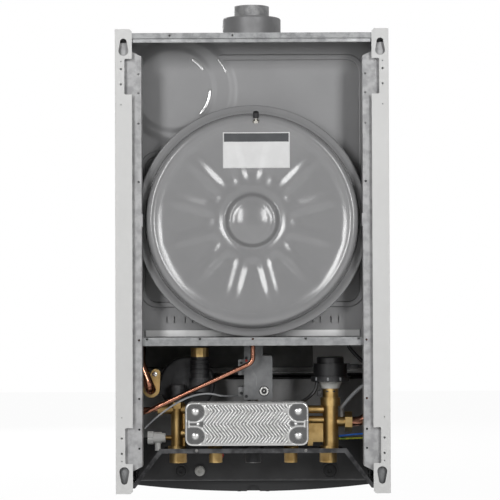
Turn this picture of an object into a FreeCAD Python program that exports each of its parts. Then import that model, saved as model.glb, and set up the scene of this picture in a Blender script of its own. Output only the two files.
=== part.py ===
import FreeCAD, Part
import math
import os
import Sketcher

# Wall-hung room-sealed gas boiler. +Z is up, the front faces -Y and the wall plane is y = 0.
# The origin lies midway between the two upper hanging holes. Depths are measured from the wall.

casing_sizes = {
    "case_width": 450.0,
    "case_height": 763.0,
    "case_depth": 345.0,
    "cover_depth": 45.0,
    "panel_sheet": 1.0,
    "hook_drop": 21.0,
    "hook_inset": 14.0,
    "pear_small": 5.4,
    "pear_large": 8.1,
    "pear_span": 15.0,
    "rear_flange": 28.0,
    "front_return": 15.0,
    "flange_chamfer": 4.0,
    "notch_offset": 78.5,
    "notch_height": 58.7,
    "notch_depth": 12.5,
    "notch_round": 2.5,
    "pilot_radius": 1.1,
    "rivet_radius": 1.8,
    "rivet_inset": 10.0,
    "cover_sheet": 1.2,
    "cover_round": 18.0,
    "cover_gap": 0.3,
    "seam_gap": 0.6,
}

frame_sizes = {
    "post_width": 42.0,
    "post_setback": 12.0,
    "post_depth": 30.0,
    "post_sheet": 1.2,
    "post_end": 36.0,
    "post_slant": 8.0,
    "post_slant_width": 16.0,
    "post_hole_inset": 5.0,
    "top_drop": 6.5,
    "top_sheet": 1.0,
    "top_lip": 9.0,
    "shelf_setback": 25.0,
    "shelf_gap": 2.0,
    "shelf_sheet": 1.2,
    "shelf_lip": 13.5,
    "shelf_upstand": 11.0,
    "pip_radius": 2.0,
    "pip_drop": 4.0,
    "clip_height": 21.0,
    "clip_width": 17.0,
    "clip_sheet": 1.2,
    "clip_stand": 0.3,
    "bracket_setback": 80.0,
    "bracket_front": 215.0,
    "bracket_level": -680.5,
    "bracket_sheet": 1.5,
    "bracket_lip": 6.0,
    "leg_inset": 25.0,
    "leg_run": 45.0,
    "foot_level": -739.0,
    "ear_height": 22.0,
    "ear_thickness": 2.0,
    "ear_length": 28.0,
    "overrun": 5.0,
    "fit_gap": 0.3,
    "running_gap": 0.06,
}

chamber_sizes = {
    "wall_setback": 115.0,
    "wall_sheet": 1.0,
    "chamber_gap": 9.0,
    "chamber_front_gap": 10.0,
    "front_field": 6.0,
    "front_margin": 22.0,
    "field_inset": 29.0,
    "field_top": -13.0,
    "field_bottom_gap": 9.0,
    "field_step": 48.4,
    "field_step_level": -177.0,
    "field_round": 25.0,
    "bead_radius": 5.0,
    "bead_rise": 2.5,
    "disc_inset": 94.6,
    "disc_z": -68.5,
    "disc_radius": 80.5,
    "disc_rise": 3.0,
    "boss_offset": 13.0,
    "boss_z": -67.0,
    "boss_radius": 63.9,
    "boss_rise": 5.0,
    "press_round": 2.4,
    "fold_height": 34.0,
    "fold_rise": 1.6,
    "lance_width": 11.0,
    "lance_slot": 1.6,
    "lance_rise": 17.5,
    "lance_inner": 108.0,
    "lance_outer": 139.0,
    "fire_gap": 58.0,
    "fire_rear_gap": 20.0,
    "fire_front_gap": 18.0,
    "fire_top": -302.0,
    "fire_sheet": 1.5,
    "burner_gap": 17.0,
    "burner_margin": 14.0,
    "burner_lift": 17.0,
    "burner_height": 38.0,
    "blade_height": 12.0,
    "blade_width": 8.0,
    "blade_pitch": 20.0,
    "rail_gap": 10.0,
    "rail_lift": 21.0,
    "rail_radius": 5.5,
    "jet_radius": 2.5,
    "exchanger_height": 46.0,
    "fin_pitch": 15.0,
    "fin_sheet": 2.0,
    "fin_depth": 6.0,
    "header_radius": 10.0,
    "hood_sheet": 1.5,
    "fan_x": 70.0,
    "fan_level": -78.0,
    "fan_radius": 64.0,
    "fan_half_depth": 33.0,
    "fan_sheet": 1.5,
    "fan_inlet": 32.0,
    "duct_half": 28.0,
    "duct_top": -10.0,
    "wheel_radius": 52.0,
    "wheel_half_depth": 22.0,
    "vane_depth": 13.0,
    "vane_sheet": 1.6,
    "fan_shaft": 3.0,
    "fan_motor_radius": 30.0,
    "fan_motor_length": 42.0,
    "flue_depth": 155.0,
    "flue_radius": 30.0,
    "air_radius": 50.0,
    "flue_sheet": 1.0,
    "flue_top": 78.5,
    "air_top": 58.0,
    "air_round": 3.0,
    "turret_flange": 62.0,
    "turret_flange_sheet": 1.5,
}

vessel_sizes = {
    "vessel_gap": 30.5,
    "vessel_level": -293.2,
    "seam_rear": 57.5,
    "seam_front": 70.5,
    "seam_lip": 14.0,
    "seam_wall": 1.6,
    "crimp_inset": 3.3,
    "crimp_groove": 1.0,
    "crimp_groove_depth": 0.8,
    "shell_wall": 1.6,
    "crest_depth": 28.0,
    "crest_step": 21.5,
    "crest_width": 9.0,
    "dish_step": 15.0,
    "dish_depth": 36.5,
    "ring_radius": 57.0,
    "ring_depth": 29.5,
    "valley_radius": 47.0,
    "valley_depth": 34.5,
    "knob_radius": 38.0,
    "knob_shoulder": 25.0,
    "knob_depth": 19.0,
    "knob_round": 14.0,
    "shoulder_round": 6.0,
    "dish_round": 22.0,
    "ring_round": 3.0,
    "rib_count": 12.0,
    "rib_start_gap": 3.0,
    "rib_end_gap": 12.0,
    "rib_width": 22.0,
    "rib_height": 5.0,
    "rib_sink": 1.6,
    "rib_tilt": 7.0,
    "front_shell_depth": 110.0,
    "front_shell_round": 26.0,
    "diaphragm_wall": 2.0,
    "diaphragm_sag": 24.0,
    "valve_x": -6.6,
    "valve_tilt": 32.0,
    "valve_radius": 3.4,
    "valve_length": 10.0,
    "valve_collar": 6.2,
    "valve_collar_height": 4.5,
    "valve_cap_radius": 4.6,
    "valve_bare": 4.0,
    "valve_cap_length": 9.5,
    "nipple_radius": 7.0,
    "nipple_depth": 88.0,
    "nipple_lift": 7.5,
    "vessel_pipe_radius": 4.0,
    "vessel_pipe_bend": 20.0,
}

water_sizes = {
    "plate_left_gap": 16.0,
    "plate_right_gap": 37.0,
    "plate_top": -596.4,
    "plate_height": 73.0,
    "plate_round": 12.0,
    "plate_rear": 72.0,
    "plate_front": 108.0,
    "plate_cover": 4.0,
    "plate_rim": 2.0,
    "plate_step": 4.0,
    "plate_groove": 1.4,
    "port_inset": 17.5,
    "port_pitch_z": 40.0,
    "port_pad": 14.0,
    "port_bump": 6.6,
    "port_rise": 1.6,
    "ridge_pitch": 5.8,
    "ridge_width": 1.3,
    "ridge_rise": 1.8,
    "ridge_flare": 30.0,
    "ridge_margin": 4.5,
    "ridge_slant": 11.0,
    "connector_depth": 150.0,
    "connector_margin": 94.0,
    "connector_end": -703.0,
    "thread_length": 20.0,
    "thread_relief": 0.5,
    "thread_large": 13.2,
    "thread_small": 10.5,
    "bore_large": 9.6,
    "bore_small": 7.4,
    "bore_length": 24.0,
    "collar_height": 6.0,
    "collar_radius": 15.6,
    "return_radius": 10.5,
    "return_top": -600.0,
    "branch_radius": 8.2,
    "branch_top": -612.0,
    "branch_reach": 33.0,
    "bypass_radius": 3.6,
    "port_stub": 9.0,
    "tap_level": -660.4,
    "tap_spigot": 4.2,
    "flow_offset": 2.5,
    "flow_radius": 13.6,
    "flow_top": -577.0,
    "flow_ring_radius": 17.0,
    "flow_ring_low": -606.5,
    "flow_ring_high": -592.5,
    "flow_branch": 6.8,
    "flow_branch_high": -613.0,
    "flow_branch_low": -631.0,
    "flow_outlet_level": -634.0,
    "flow_outlet_radius": 8.4,
    "flow_outlet_reach": 24.5,
    "flow_web": 4.0,
    "flow_lug": 9.0,
    "flow_lug_height": 12.0,
    "stem_radius": 3.0,
    "stem_bore": 6.4,
    "stem_low": -640.0,
    "stem_travel": 6.0,
    "stem_disc": 5.6,
    "stem_disc_height": 4.0,
    "collar_low": -577.0,
    "collar_high": -565.0,
    "collar_cone_low": 15.0,
    "collar_cone_high": 20.5,
    "actuator_base_radius": 33.0,
    "actuator_base_high": -556.0,
    "actuator_body_radius": 29.0,
    "actuator_body_high": -534.5,
    "actuator_cap_radius": 23.0,
    "actuator_cap_high": -523.0,
    "actuator_round": 2.5,
    "actuator_recess": 3.6,
    "socket_reach": 4.0,
    "socket_half": 8.0,
    "socket_height": 10.3,
    "nut_flats": 30.0,
    "nut_length": 12.0,
    "flow_pipe_radius": 8.0,
    "flow_pipe_bend": 28.0,
    "flow_pipe_gap": 24.0,
    "return_pipe_radius": 9.0,
    "return_pipe_bend": 20.0,
    "return_pipe_gap": 32.0,
    "return_pipe_rear": 118.0,
    "inlet_offset": 18.0,
    "inlet_level": -577.0,
    "inlet_radius": 14.5,
    "flange_sheet": 5.0,
    "flange_small": 7.6,
    "flange_span": 27.7,
    "flange_turn": 16.8,
    "pump_offset": 60.0,
    "pump_level": -571.0,
    "pump_radius": 48.0,
    "pump_gap": 18.0,
    "pump_width": 32.0,
    "pump_wall": 9.0,
    "pump_dome": 27.0,
    "pump_dome_rise": 1.5,
    "pump_arm": 12.0,
    "motor_radius": 44.0,
    "motor_length": 39.0,
    "motor_band": 6.0,
    "motor_band_rise": 2.0,
    "wheel_shaft": 4.0,
    "wheel_shaft_reach": 18.0,
    "pump_wheel_radius": 32.0,
    "pump_wheel_width": 14.0,
    "vent_offset": 22.5,
    "vent_depth": 172.0,
    "vent_radius": 16.0,
    "vent_low": -559.0,
    "vent_high": -523.0,
    "vent_groove": 1.2,
    "vent_cap_radius": 15.2,
    "vent_cap_high": -507.5,
    "tap_radius": 9.8,
    "tap_reach": 26.5,
    "tap_length": 13.9,
    "tap_seal": 8.0,
    "tap_seal_width": 6.6,
    "tap_outlet": 5.0,
    "tap_outlet_low": -682.0,
    "tap_shaft": 3.0,
    "tap_shaft_length": 9.0,
    "tap_knob_radius": 11.0,
    "tap_knob_length": 9.6,
    "tap_flutes": 10.0,
    "tap_flute_radius": 1.6,
    "relief_x": 63.5,
    "relief_level": -695.0,
    "relief_radius": 8.5,
    "relief_length": 28.0,
    "relief_rear": 176.0,
    "relief_boss": 6.0,
    "relief_knob_radius": 11.6,
    "relief_knob_length": 15.0,
    "relief_shaft": 2.5,
    "relief_shaft_length": 10.0,
}

loom_sizes = {
    "lead_radius": 1.6,
    "lead_bend": 12.0,
    "hose_radius": 3.0,
    "plug_length": 15.0,
    "plug_half": 5.0,
    "blue_level": -654.0,
    "earth_level": -662.0,
}

gas_sizes = {
    "gas_right": 15.0,
    "gas_left": -33.0,
    "gas_rear": 120.0,
    "gas_front": 184.0,
    "gas_top": -520.0,
    "gas_bottom": -594.6,
    "gas_round": 3.0,
    "gas_lug": 10.0,
    "gas_lug_high": -527.0,
    "gas_lug_middle": -563.0,
    "gas_lug_low": -589.0,
    "gas_lug_rear": 132.0,
    "gas_lug_front": 165.0,
    "gas_block_left": -17.0,
    "gas_block_top": -503.0,
    "gas_block_front": 172.0,
    "gas_coil_radius": 20.0,
    "gas_coil_front": 226.0,
    "gas_coil_drop": 26.0,
    "gas_plug_x": -18.8,
    "gas_plug_level": -580.0,
    "gas_plug_radius": 7.6,
    "gas_plug_rise": 1.8,
    "gas_plug_socket": 3.2,
    "gas_arrow_width": 2.0,
    "gas_arrow_height": 18.0,
    "gas_arrow_rise": 0.6,
    "gas_pipe_radius": 9.0,
    "feed_x": -1.0,
}

control_sizes = {
    "box_side_gap": 21.0,
    "box_gap": 5.0,
    "box_top": -563.0,
    "box_bottom": -745.0,
    "box_wall": 2.5,
    "fascia_depth": 44.0,
    "fascia_gap": 1.5,
    "fascia_top": -557.0,
    "fascia_end": -753.0,
    "fascia_low": -767.0,
    "fascia_sill": -747.0,
    "fascia_wall": 3.0,
    "fascia_corner": 6.0,
    "fascia_round": 4.0,
    "finger_radius": 11.5,
    "finger_depth": 12.0,
    "foot_x": 25.5,
    "foot_radius": 3.2,
    "foot_drop": 2.2,
    "pivot_inset": 11.0,
    "pivot_level": -731.0,
    "pivot_radius": 4.0,
    "gland_level": -727.5,
    "gland_left": 128.0,
    "gland_middle": 94.5,
    "gland_right": -135.5,
    "gland_small": 11.6,
    "gland_large": 14.0,
    "gland_rise": 3.0,
    "gland_wall": 2.2,
    "dial_level": -655.0,
    "hot_knob_x": -130.0,
    "heat_knob_x": -70.0,
    "knob_cup_radius": 24.0,
    "knob_cup_wall": 2.5,
    "knob_cup_depth": 13.0,
    "dial_radius": 20.0,
    "dial_length": 12.0,
    "dial_grip": 5.0,
    "dial_grip_rise": 6.0,
    "dial_shaft": 3.0,
    "dial_shaft_length": 10.0,
    "gauge_x": 118.0,
    "gauge_radius": 21.0,
    "gauge_length": 22.0,
    "gauge_recess": 4.0,
    "gauge_bezel": 2.2,
    "needle_pin": 0.9,
    "needle_length": 14.0,
    "needle_width": 1.6,
    "needle_sheet": 0.8,
    "board_margin": 53.0,
    "board_height": 118.0,
    "board_sheet": 1.6,
    "board_stand": 10.0,
    "board_stand_radius": 4.0,
}

doc = FreeCAD.newDocument("gas_boiler")
sheet = doc.addObject("Spreadsheet::Sheet", "Sizes")
nodes = []


class Size:
    """A length with its spreadsheet expression, so that sums of sizes stay bound to the sheet."""

    def __init__(self, text, value):
        self.text = text
        self.value = value

    def combine(self, other, sign, swap=False):
        other = as_size(other)
        left, right = (other, self) if swap else (self, other)
        results = {
            "+": lambda: left.value + right.value,
            "-": lambda: left.value - right.value,
            "*": lambda: left.value * right.value,
            "/": lambda: left.value / right.value,
        }
        return Size(f"({left.text} {sign} {right.text})", results[sign]())

    def __add__(self, other):
        return self.combine(other, "+")

    def __radd__(self, other):
        return self.combine(other, "+", True)

    def __sub__(self, other):
        return self.combine(other, "-")

    def __rsub__(self, other):
        return self.combine(other, "-", True)

    def __mul__(self, other):
        return self.combine(other, "*")

    def __rmul__(self, other):
        return self.combine(other, "*", True)

    def __truediv__(self, other):
        return self.combine(other, "/")

    def __neg__(self):
        return Size(f"(-{self.text})", -self.value)


def as_size(number):
    return number if isinstance(number, Size) else Size(repr(float(number)), float(number))


class SizeTable:
    """The spreadsheet's rows by name."""

    def __init__(self, *groups):
        row = 1
        for group in groups:
            for name, value in group.items():
                sheet.set(f"A{row}", name)
                sheet.set(f"B{row}", str(value))
                sheet.setAlias(f"B{row}", name)
                setattr(self, name, Size(f"Sizes.{name}", value))
                row += 1


s = SizeTable(casing_sizes, frame_sizes, chamber_sizes, vessel_sizes, water_sizes, loom_sizes, gas_sizes,
              control_sizes)
doc.recompute()


# helpers for bound primitives

def bind(item, name, size):
    item.setExpression(name, as_size(size).text)


def place(item, x, y, z, turn=None):
    if turn:
        item.Placement = FreeCAD.Placement(FreeCAD.Vector(), turn)
    for letter, size in zip("xyz", (x, y, z)):
        bind(item, f"Placement.Base.{letter}", size)


def slab(name, x, depth, z):
    """Box between two sizes along X, depth from the wall and Z."""
    item = doc.addObject("Part::Box", name)
    bind(item, "Length", as_size(x[1]) - x[0])
    bind(item, "Width", as_size(depth[1]) - depth[0])
    bind(item, "Height", as_size(z[1]) - z[0])
    place(item, x[0], -as_size(depth[1]), z[0])
    return item


axis_turns = {
    "x": FreeCAD.Rotation(FreeCAD.Vector(0, 1, 0), 90),
    "depth": FreeCAD.Rotation(FreeCAD.Vector(1, 0, 0), 90),
    "z": FreeCAD.Rotation(),
}


def along(item, axis, centre, start):
    """Lay a primitive's own axis along X, depth or Z, through its centre in the other two."""
    first, second = centre
    if axis == "x":
        place(item, start, -as_size(first), second, axis_turns[axis])
    elif axis == "depth":
        place(item, first, -as_size(start), second, axis_turns[axis])
    else:
        place(item, first, -as_size(second), start, axis_turns[axis])


def rod(name, axis, centre, radius, span):
    item = doc.addObject("Part::Cylinder", name)
    bind(item, "Radius", radius)
    bind(item, "Height", as_size(span[1]) - span[0])
    along(item, axis, centre, span[0])
    return item


def taper(name, axis, centre, radii, span):
    item = doc.addObject("Part::Cone", name)
    bind(item, "Radius1", radii[0])
    bind(item, "Radius2", radii[1])
    bind(item, "Height", as_size(span[1]) - span[0])
    along(item, axis, centre, span[0])
    return item


def prism(name, axis, centre, flats, span, sides=6):
    item = doc.addObject("Part::Prism", name)
    item.Polygon = sides
    bind(item, "Circumradius", flats / (2 * math.cos(math.pi / sides)))
    bind(item, "Height", as_size(span[1]) - span[0])
    along(item, axis, centre, span[0])
    return item


def join(name, *items):
    item = doc.addObject("Part::MultiFuse", name)
    item.Shapes = list(items)
    item.Refine = True
    return item


def group(name, *items):
    item = doc.addObject("Part::Compound", name)
    item.Links = list(items)
    return item


def cut(name, base, *tools):
    item = doc.addObject("Part::Cut", name)
    item.Base = base
    item.Tool = tools[0] if len(tools) == 1 else join(f"{name}_tools", *tools)
    item.Refine = True
    return item


def overlap(name, base, tool):
    item = doc.addObject("Part::Common", name)
    item.Base = base
    item.Tool = tool
    return item


def rounded(name, base, radius, chosen):
    """Fillet of the base's edges that a test picks out."""
    doc.recompute()
    item = doc.addObject("Part::Fillet", name)
    item.Base = base
    picks = [n for n, edge in enumerate(base.Shape.Edges, 1) if chosen(edge)]
    item.Edges = [(n, radius.value, radius.value) for n in picks]
    return item


def mirrored(name, source):
    item = doc.addObject("Part::Mirroring", name)
    item.Source = source
    item.Normal = (1, 0, 0)
    return item


def node(item, label):
    item.Label = label
    nodes.append(item)
    return item


def runs_along(edge, direction):
    if not isinstance(edge.Curve, Part.Line):
        return False
    return abs(edge.Curve.Direction.dot(FreeCAD.Vector(*direction))) > 0.999


def ring_near(edge, radius, depth=None):
    """True for a full circle of about this radius, at this depth where one is given."""
    if not isinstance(edge.Curve, Part.Circle):
        return False
    near = abs(edge.Curve.Radius - radius.value) < s.fit_gap.value
    if depth is None or not near:
        return near
    return abs(edge.Curve.Center.y + as_size(depth).value) < s.fit_gap.value


# helpers for part design bodies

def new_body(label):
    body = doc.addObject("PartDesign::Body", label)
    return node(body, label)


def sketch_on(body, role, name, offset=0):
    """Sketch on an origin plane. On XZ_Plane the offset is a depth from the wall."""
    sketch = body.newObject("Sketcher::SketchObject", name)
    plane = [item for item in body.Origin.OriginFeatures if item.Role == role][0]
    sketch.AttachmentSupport = (plane, [""])
    sketch.MapMode = "FlatFace"
    bind(sketch, "AttachmentOffset.Base.z", offset)
    return sketch


def hold(sketch, kind, first, *size_last):
    """Add a constraint whose last argument is a size bound to the sheet."""
    *rest, size = size_last
    size = as_size(size)
    index = sketch.addConstraint(Sketcher.Constraint(kind, first, *rest, size.value))
    sketch.setExpression(f"Constraints[{index}]", size.text)


def pin_point(sketch, geometry, end, across, up):
    hold(sketch, "DistanceX", -1, 1, geometry, end, across)
    hold(sketch, "DistanceY", -1, 1, geometry, end, up)


def vector2(across, up):
    return FreeCAD.Vector(as_size(across).value, as_size(up).value, 0)


def polygon(sketch, points):
    """Closed outline through points given as sizes."""
    first = sketch.GeometryCount
    count = len(points)
    for n in range(count):
        start = vector2(*points[n])
        end = vector2(*points[(n + 1) % count])
        sketch.addGeometry(Part.LineSegment(start, end))
    for n in range(count):
        sketch.addConstraint(Sketcher.Constraint("Coincident", first + n, 2, first + (n + 1) % count, 1))
    for n in range(count):
        pin_point(sketch, first + n, 1, *points[n])


def circle(sketch, across, up, radius):
    ring = Part.Circle(vector2(across, up), FreeCAD.Vector(0, 0, 1), as_size(radius).value)
    index = sketch.addGeometry(ring)
    pin_point(sketch, index, 3, across, up)
    hold(sketch, "Radius", index, radius)


def heading(start, end):
    """Unit step from one point to the next."""
    way = vector2(*end) - vector2(*start)
    return way.x / way.Length, way.y / way.Length


def soft_polygon(sketch, points, radii):
    """Closed outline of level and upright runs, anticlockwise, with a rounded corner at each point."""
    count = len(points)
    corners = []
    for n, (across, up) in enumerate(points):
        come = heading(points[n - 1], points[n])
        leave = heading(points[n], points[(n + 1) % count])
        radius = radii[n]
        centre = (across + (leave[0] - come[0]) * radius, up + (leave[1] - come[1]) * radius)
        ring = Part.Circle(vector2(*centre), FreeCAD.Vector(0, 0, 1), radius.value)
        first = math.atan2(-leave[1], -leave[0])
        last = math.atan2(come[1], come[0])
        left_turn = come[0] * leave[1] > come[1] * leave[0]
        if not left_turn:
            first, last = last, first
        if last < first:
            last += 2 * math.pi
        arc = sketch.addGeometry(Part.ArcOfCircle(ring, first, last))
        corners.append((arc, centre, radius, (1, 2) if left_turn else (2, 1)))
    for n in range(count):
        arc, _, _, (_, leaving) = corners[n]
        next_arc, _, _, (entering, _) = corners[(n + 1) % count]
        run = Part.LineSegment(sketch.getPoint(arc, leaving), sketch.getPoint(next_arc, entering))
        line = sketch.addGeometry(run)
        sketch.addConstraint(Sketcher.Constraint("Tangent", arc, leaving, line, 1))
        sketch.addConstraint(Sketcher.Constraint("Tangent", line, 2, next_arc, entering))
    for arc, centre, radius, _ in corners:
        pin_point(sketch, arc, 3, *centre)
        hold(sketch, "Radius", arc, radius)


def round_box(sketch, across, up, radius):
    """Rectangle with rounded corners between two sizes each way."""
    left, right = across
    low, high = up
    soft_polygon(sketch, [(left, low), (right, low), (right, high), (left, high)], [radius] * 4)


def pear(sketch, across, up, small, large, span, way):
    """Two circles of different size joined by their outer tangents; way is the large end's side."""
    lean = math.asin((large.value - small.value) / span.value)
    up_large = as_size(up) + way * span
    ends = [(as_size(up), small, -way), (up_large, large, way)]
    arcs = []
    for level, radius, side in ends:
        ring = Part.Circle(vector2(across, level), FreeCAD.Vector(0, 0, 1), radius.value)
        middle = side * math.pi / 2
        half = math.pi / 2 + (lean if radius is large else -lean)
        arcs.append(sketch.addGeometry(Part.ArcOfCircle(ring, middle - half, middle + half)))
    for n in range(2):
        run = Part.LineSegment(sketch.getPoint(arcs[n], 2), sketch.getPoint(arcs[1 - n], 1))
        line = sketch.addGeometry(run)
        sketch.addConstraint(Sketcher.Constraint("Tangent", arcs[n], 2, line, 1))
        sketch.addConstraint(Sketcher.Constraint("Tangent", line, 2, arcs[1 - n], 1))
    for n, (level, radius, side) in enumerate(ends):
        pin_point(sketch, arcs[n], 3, across, level)
        hold(sketch, "Radius", arcs[n], radius)


def pad(body, sketch, length, name):
    item = body.newObject("PartDesign::Pad", name)
    item.Profile = sketch
    bind(item, "Length", length)
    sketch.Visibility = False
    return item


def pocket(body, sketch, length, name):
    """Cut from the sketch along its normal, which on XZ_Plane is away from the wall."""
    item = body.newObject("PartDesign::Pocket", name)
    item.Profile = sketch
    item.Reversed = True
    bind(item, "Length", length)
    return item


def revolve(body, sketch, role, name):
    item = body.newObject("PartDesign::Revolution", name)
    item.Profile = sketch
    axis = [feature for feature in body.Origin.OriginFeatures if feature.Role == role][0]
    item.ReferenceAxis = (axis, [""])
    item.Angle = 360.0
    return item


def body_fillet(body, radius, chosen, name):
    doc.recompute()
    base = body.Tip
    picks = [f"Edge{n}" for n, edge in enumerate(base.Shape.Edges, 1) if chosen(edge)]
    item = body.newObject("PartDesign::Fillet", name)
    item.Base = (base, picks)
    bind(item, "Radius", radius)
    return item


# helper for bent tubes

def route(points, bend):
    """Wire of straight runs joined by tangent arcs of one bend radius."""
    edges = []
    start = points[0]
    for before, corner, after in zip(points, points[1:], points[2:]):
        incoming = (corner - before).normalize()
        outgoing = (after - corner).normalize()
        turn = incoming.getAngle(outgoing)
        reach = bend * math.tan(turn / 2)
        first = corner - incoming * reach
        last = corner + outgoing * reach
        inward = (outgoing - incoming).normalize()
        middle = corner + inward * (bend / math.cos(turn / 2) - bend)
        edges.append(Part.LineSegment(start, first).toShape())
        edges.append(Part.Arc(first, middle, last).toShape())
        start = last
    edges.append(Part.LineSegment(start, points[-1]).toShape())
    return Part.Wire(edges)


def at(x, depth, z):
    return FreeCAD.Vector(as_size(x).value, -as_size(depth).value, as_size(z).value)


def tube_shape(points, radius, bend, bore=None):
    path = route(points, as_size(bend).value)
    direction = (points[1] - points[0]).normalize()
    shapes = []
    for size in [radius] if bore is None else [radius, bore]:
        ring = Part.Wire([Part.Circle(points[0], direction, as_size(size).value).toShape()])
        shell = Part.BRepOffsetAPI.MakePipeShell(path)
        shell.add(ring)
        shell.build()
        shell.makeSolid()
        shapes.append(shell.shape())
    return shapes[0] if bore is None else shapes[0].cut(shapes[1])


def tube(label, points, radius, bend, bore=None):
    item = doc.addObject("Part::Feature", label)
    item.Shape = tube_shape(points, radius, bend, bore)
    return node(item, label)


# shared places

bend_share = 0.9
half = s.case_width / 2
inside = half - s.panel_sheet
case_top = s.hook_drop
case_bottom = s.hook_drop - s.case_height
case_middle = s.hook_drop - s.case_height / 2
top_face = case_top - s.top_drop
top_under = top_face - s.top_sheet
side_depth = s.case_depth - s.cover_depth
post_inner = inside - s.post_width
leg_half = inside - s.leg_inset
bracket_half = leg_half - s.leg_run
bracket_under = s.bracket_level - s.bracket_sheet

vessel_radius = inside - s.vessel_gap
crest_outer = vessel_radius - s.crest_step
crest_inner = crest_outer - s.crest_width
dish_radius = crest_inner - s.dish_step
nipple_drop = vessel_radius - s.nipple_lift
shelf_level = s.vessel_level - vessel_radius - s.fit_gap
shelf_under = shelf_level - s.shelf_sheet
shelf_front = s.wall_setback - s.shelf_gap

wall_front = s.wall_setback + s.wall_sheet
chamber_half = inside - s.chamber_gap
chamber_front = side_depth - s.chamber_front_gap
upstand_top = shelf_level + s.shelf_upstand
fold_level = upstand_top + s.fold_height
lance_level = upstand_top + s.lance_rise
field_half = chamber_half - s.field_inset
field_bottom = fold_level + s.field_bottom_gap
disc_x = chamber_half - s.disc_inset
boss_x = disc_x + s.boss_offset
fire_half = chamber_half - s.fire_gap
fire_rear = wall_front + s.fire_rear_gap
fire_front = chamber_front - s.fire_front_gap
burner_half = fire_half - s.burner_gap
burner_base = shelf_level + s.burner_lift
burner_top = burner_base + s.burner_height
rail_depth = wall_front + s.rail_gap
rail_level = burner_base + s.rail_lift
header_level = s.fire_top + s.exchanger_height / 2

connector_pitch = (inside - s.connector_margin) / 2
connector_outer = connector_pitch * 2
branch_end = connector_outer + s.branch_reach
tap_rear_end = connector_outer + s.tap_reach
tap_front_end = tap_rear_end + s.tap_length
flow_x = -(connector_outer + s.flow_offset)
flow_outlet_end = flow_x - s.flow_outlet_reach
flow_pipe_x = s.flow_pipe_gap - inside
return_pipe_x = inside - s.return_pipe_gap
inlet_x = return_pipe_x - s.inlet_offset
pump_x = inlet_x - s.pump_offset
pump_rear = s.vent_depth + s.pump_gap
pump_front = pump_rear + s.pump_width
motor_front = pump_front + s.motor_length
wheel_shaft_end = pump_front + s.wheel_shaft_reach
vent_x = pump_x - s.vent_offset

plate_left = connector_outer - s.plate_left_gap
plate_right = s.plate_right_gap - connector_outer
plate_low = s.plate_top - s.plate_height
plate_mid_z = s.plate_top - s.plate_height / 2
port_left = plate_left - s.port_inset
port_right = plate_right + s.port_inset
port_high = plate_mid_z + s.port_pitch_z / 2
port_low = plate_mid_z - s.port_pitch_z / 2

box_half = inside - s.box_side_gap
box_rear = motor_front + s.box_gap
pivot_depth = box_rear + s.pivot_inset
fascia_rear = s.case_depth - s.fascia_depth
board_half = box_half - s.board_margin


# casing

def side_panel():
    body = new_body("right_side_panel")
    profile = sketch_on(body, "XY_Plane", "panel_profile", case_bottom)
    polygon(profile, [
        (half - s.rear_flange, 0),
        (half, 0),
        (half, -side_depth),
        (inside, -side_depth),
        (inside, -s.panel_sheet),
        (half - s.rear_flange, -s.panel_sheet),
    ])
    pad(body, profile, s.case_height, "panel_sheet_pad")
    lip = sketch_on(body, "XY_Plane", "front_lip", s.fascia_top)
    polygon(lip, [
        (half - s.front_return, -side_depth),
        (inside, -side_depth),
        (inside, s.panel_sheet - side_depth),
        (half - s.front_return, s.panel_sheet - side_depth),
    ])
    pad(body, lip, case_top - s.fascia_top, "front_lip_pad")
    holes = sketch_on(body, "XZ_Plane", "flange_holes")
    hook_x = half - s.hook_inset
    flange_edge = half - s.rear_flange
    notch_edge = flange_edge - s.overrun
    pilot_shares = (
        (0.68, s.pilot_radius),
        (0.84, s.rivet_radius),
        (1.16, s.rivet_radius),
        (1.59, s.pilot_radius),
    )
    for end, way in ((case_top, -1), (case_bottom, 1)):
        pear(holes, hook_x, end + way * s.hook_drop, s.pear_small, s.pear_large, s.pear_span, way)
        middle = end + way * s.notch_offset
        span = (middle - s.notch_height / 2, middle + s.notch_height / 2)
        round_box(holes, (notch_edge, flange_edge + s.notch_depth), span, s.notch_round)
        polygon(holes, [
            (flange_edge - s.overrun, end + way * s.flange_chamfer),
            (flange_edge, end + way * s.flange_chamfer),
            (flange_edge + s.flange_chamfer, end),
            (flange_edge + s.flange_chamfer, end - way * s.overrun),
            (flange_edge - s.overrun, end - way * s.overrun),
        ])
        for share, radius in pilot_shares:
            circle(holes, half - s.rivet_inset, end + way * s.notch_offset * share, radius)
    pocket(body, holes, s.panel_sheet * 2, "flange_cuts")
    body_fillet(body, s.panel_sheet * bend_share, lambda edge: runs_along(edge, (0, 0, 1))
                and abs(edge.BoundBox.XMin - half.value) < s.running_gap.value
                and abs(edge.BoundBox.YMax) < s.running_gap.value, "rear_bend")
    node(mirrored("left_side_panel", body), "left_side_panel")


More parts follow.
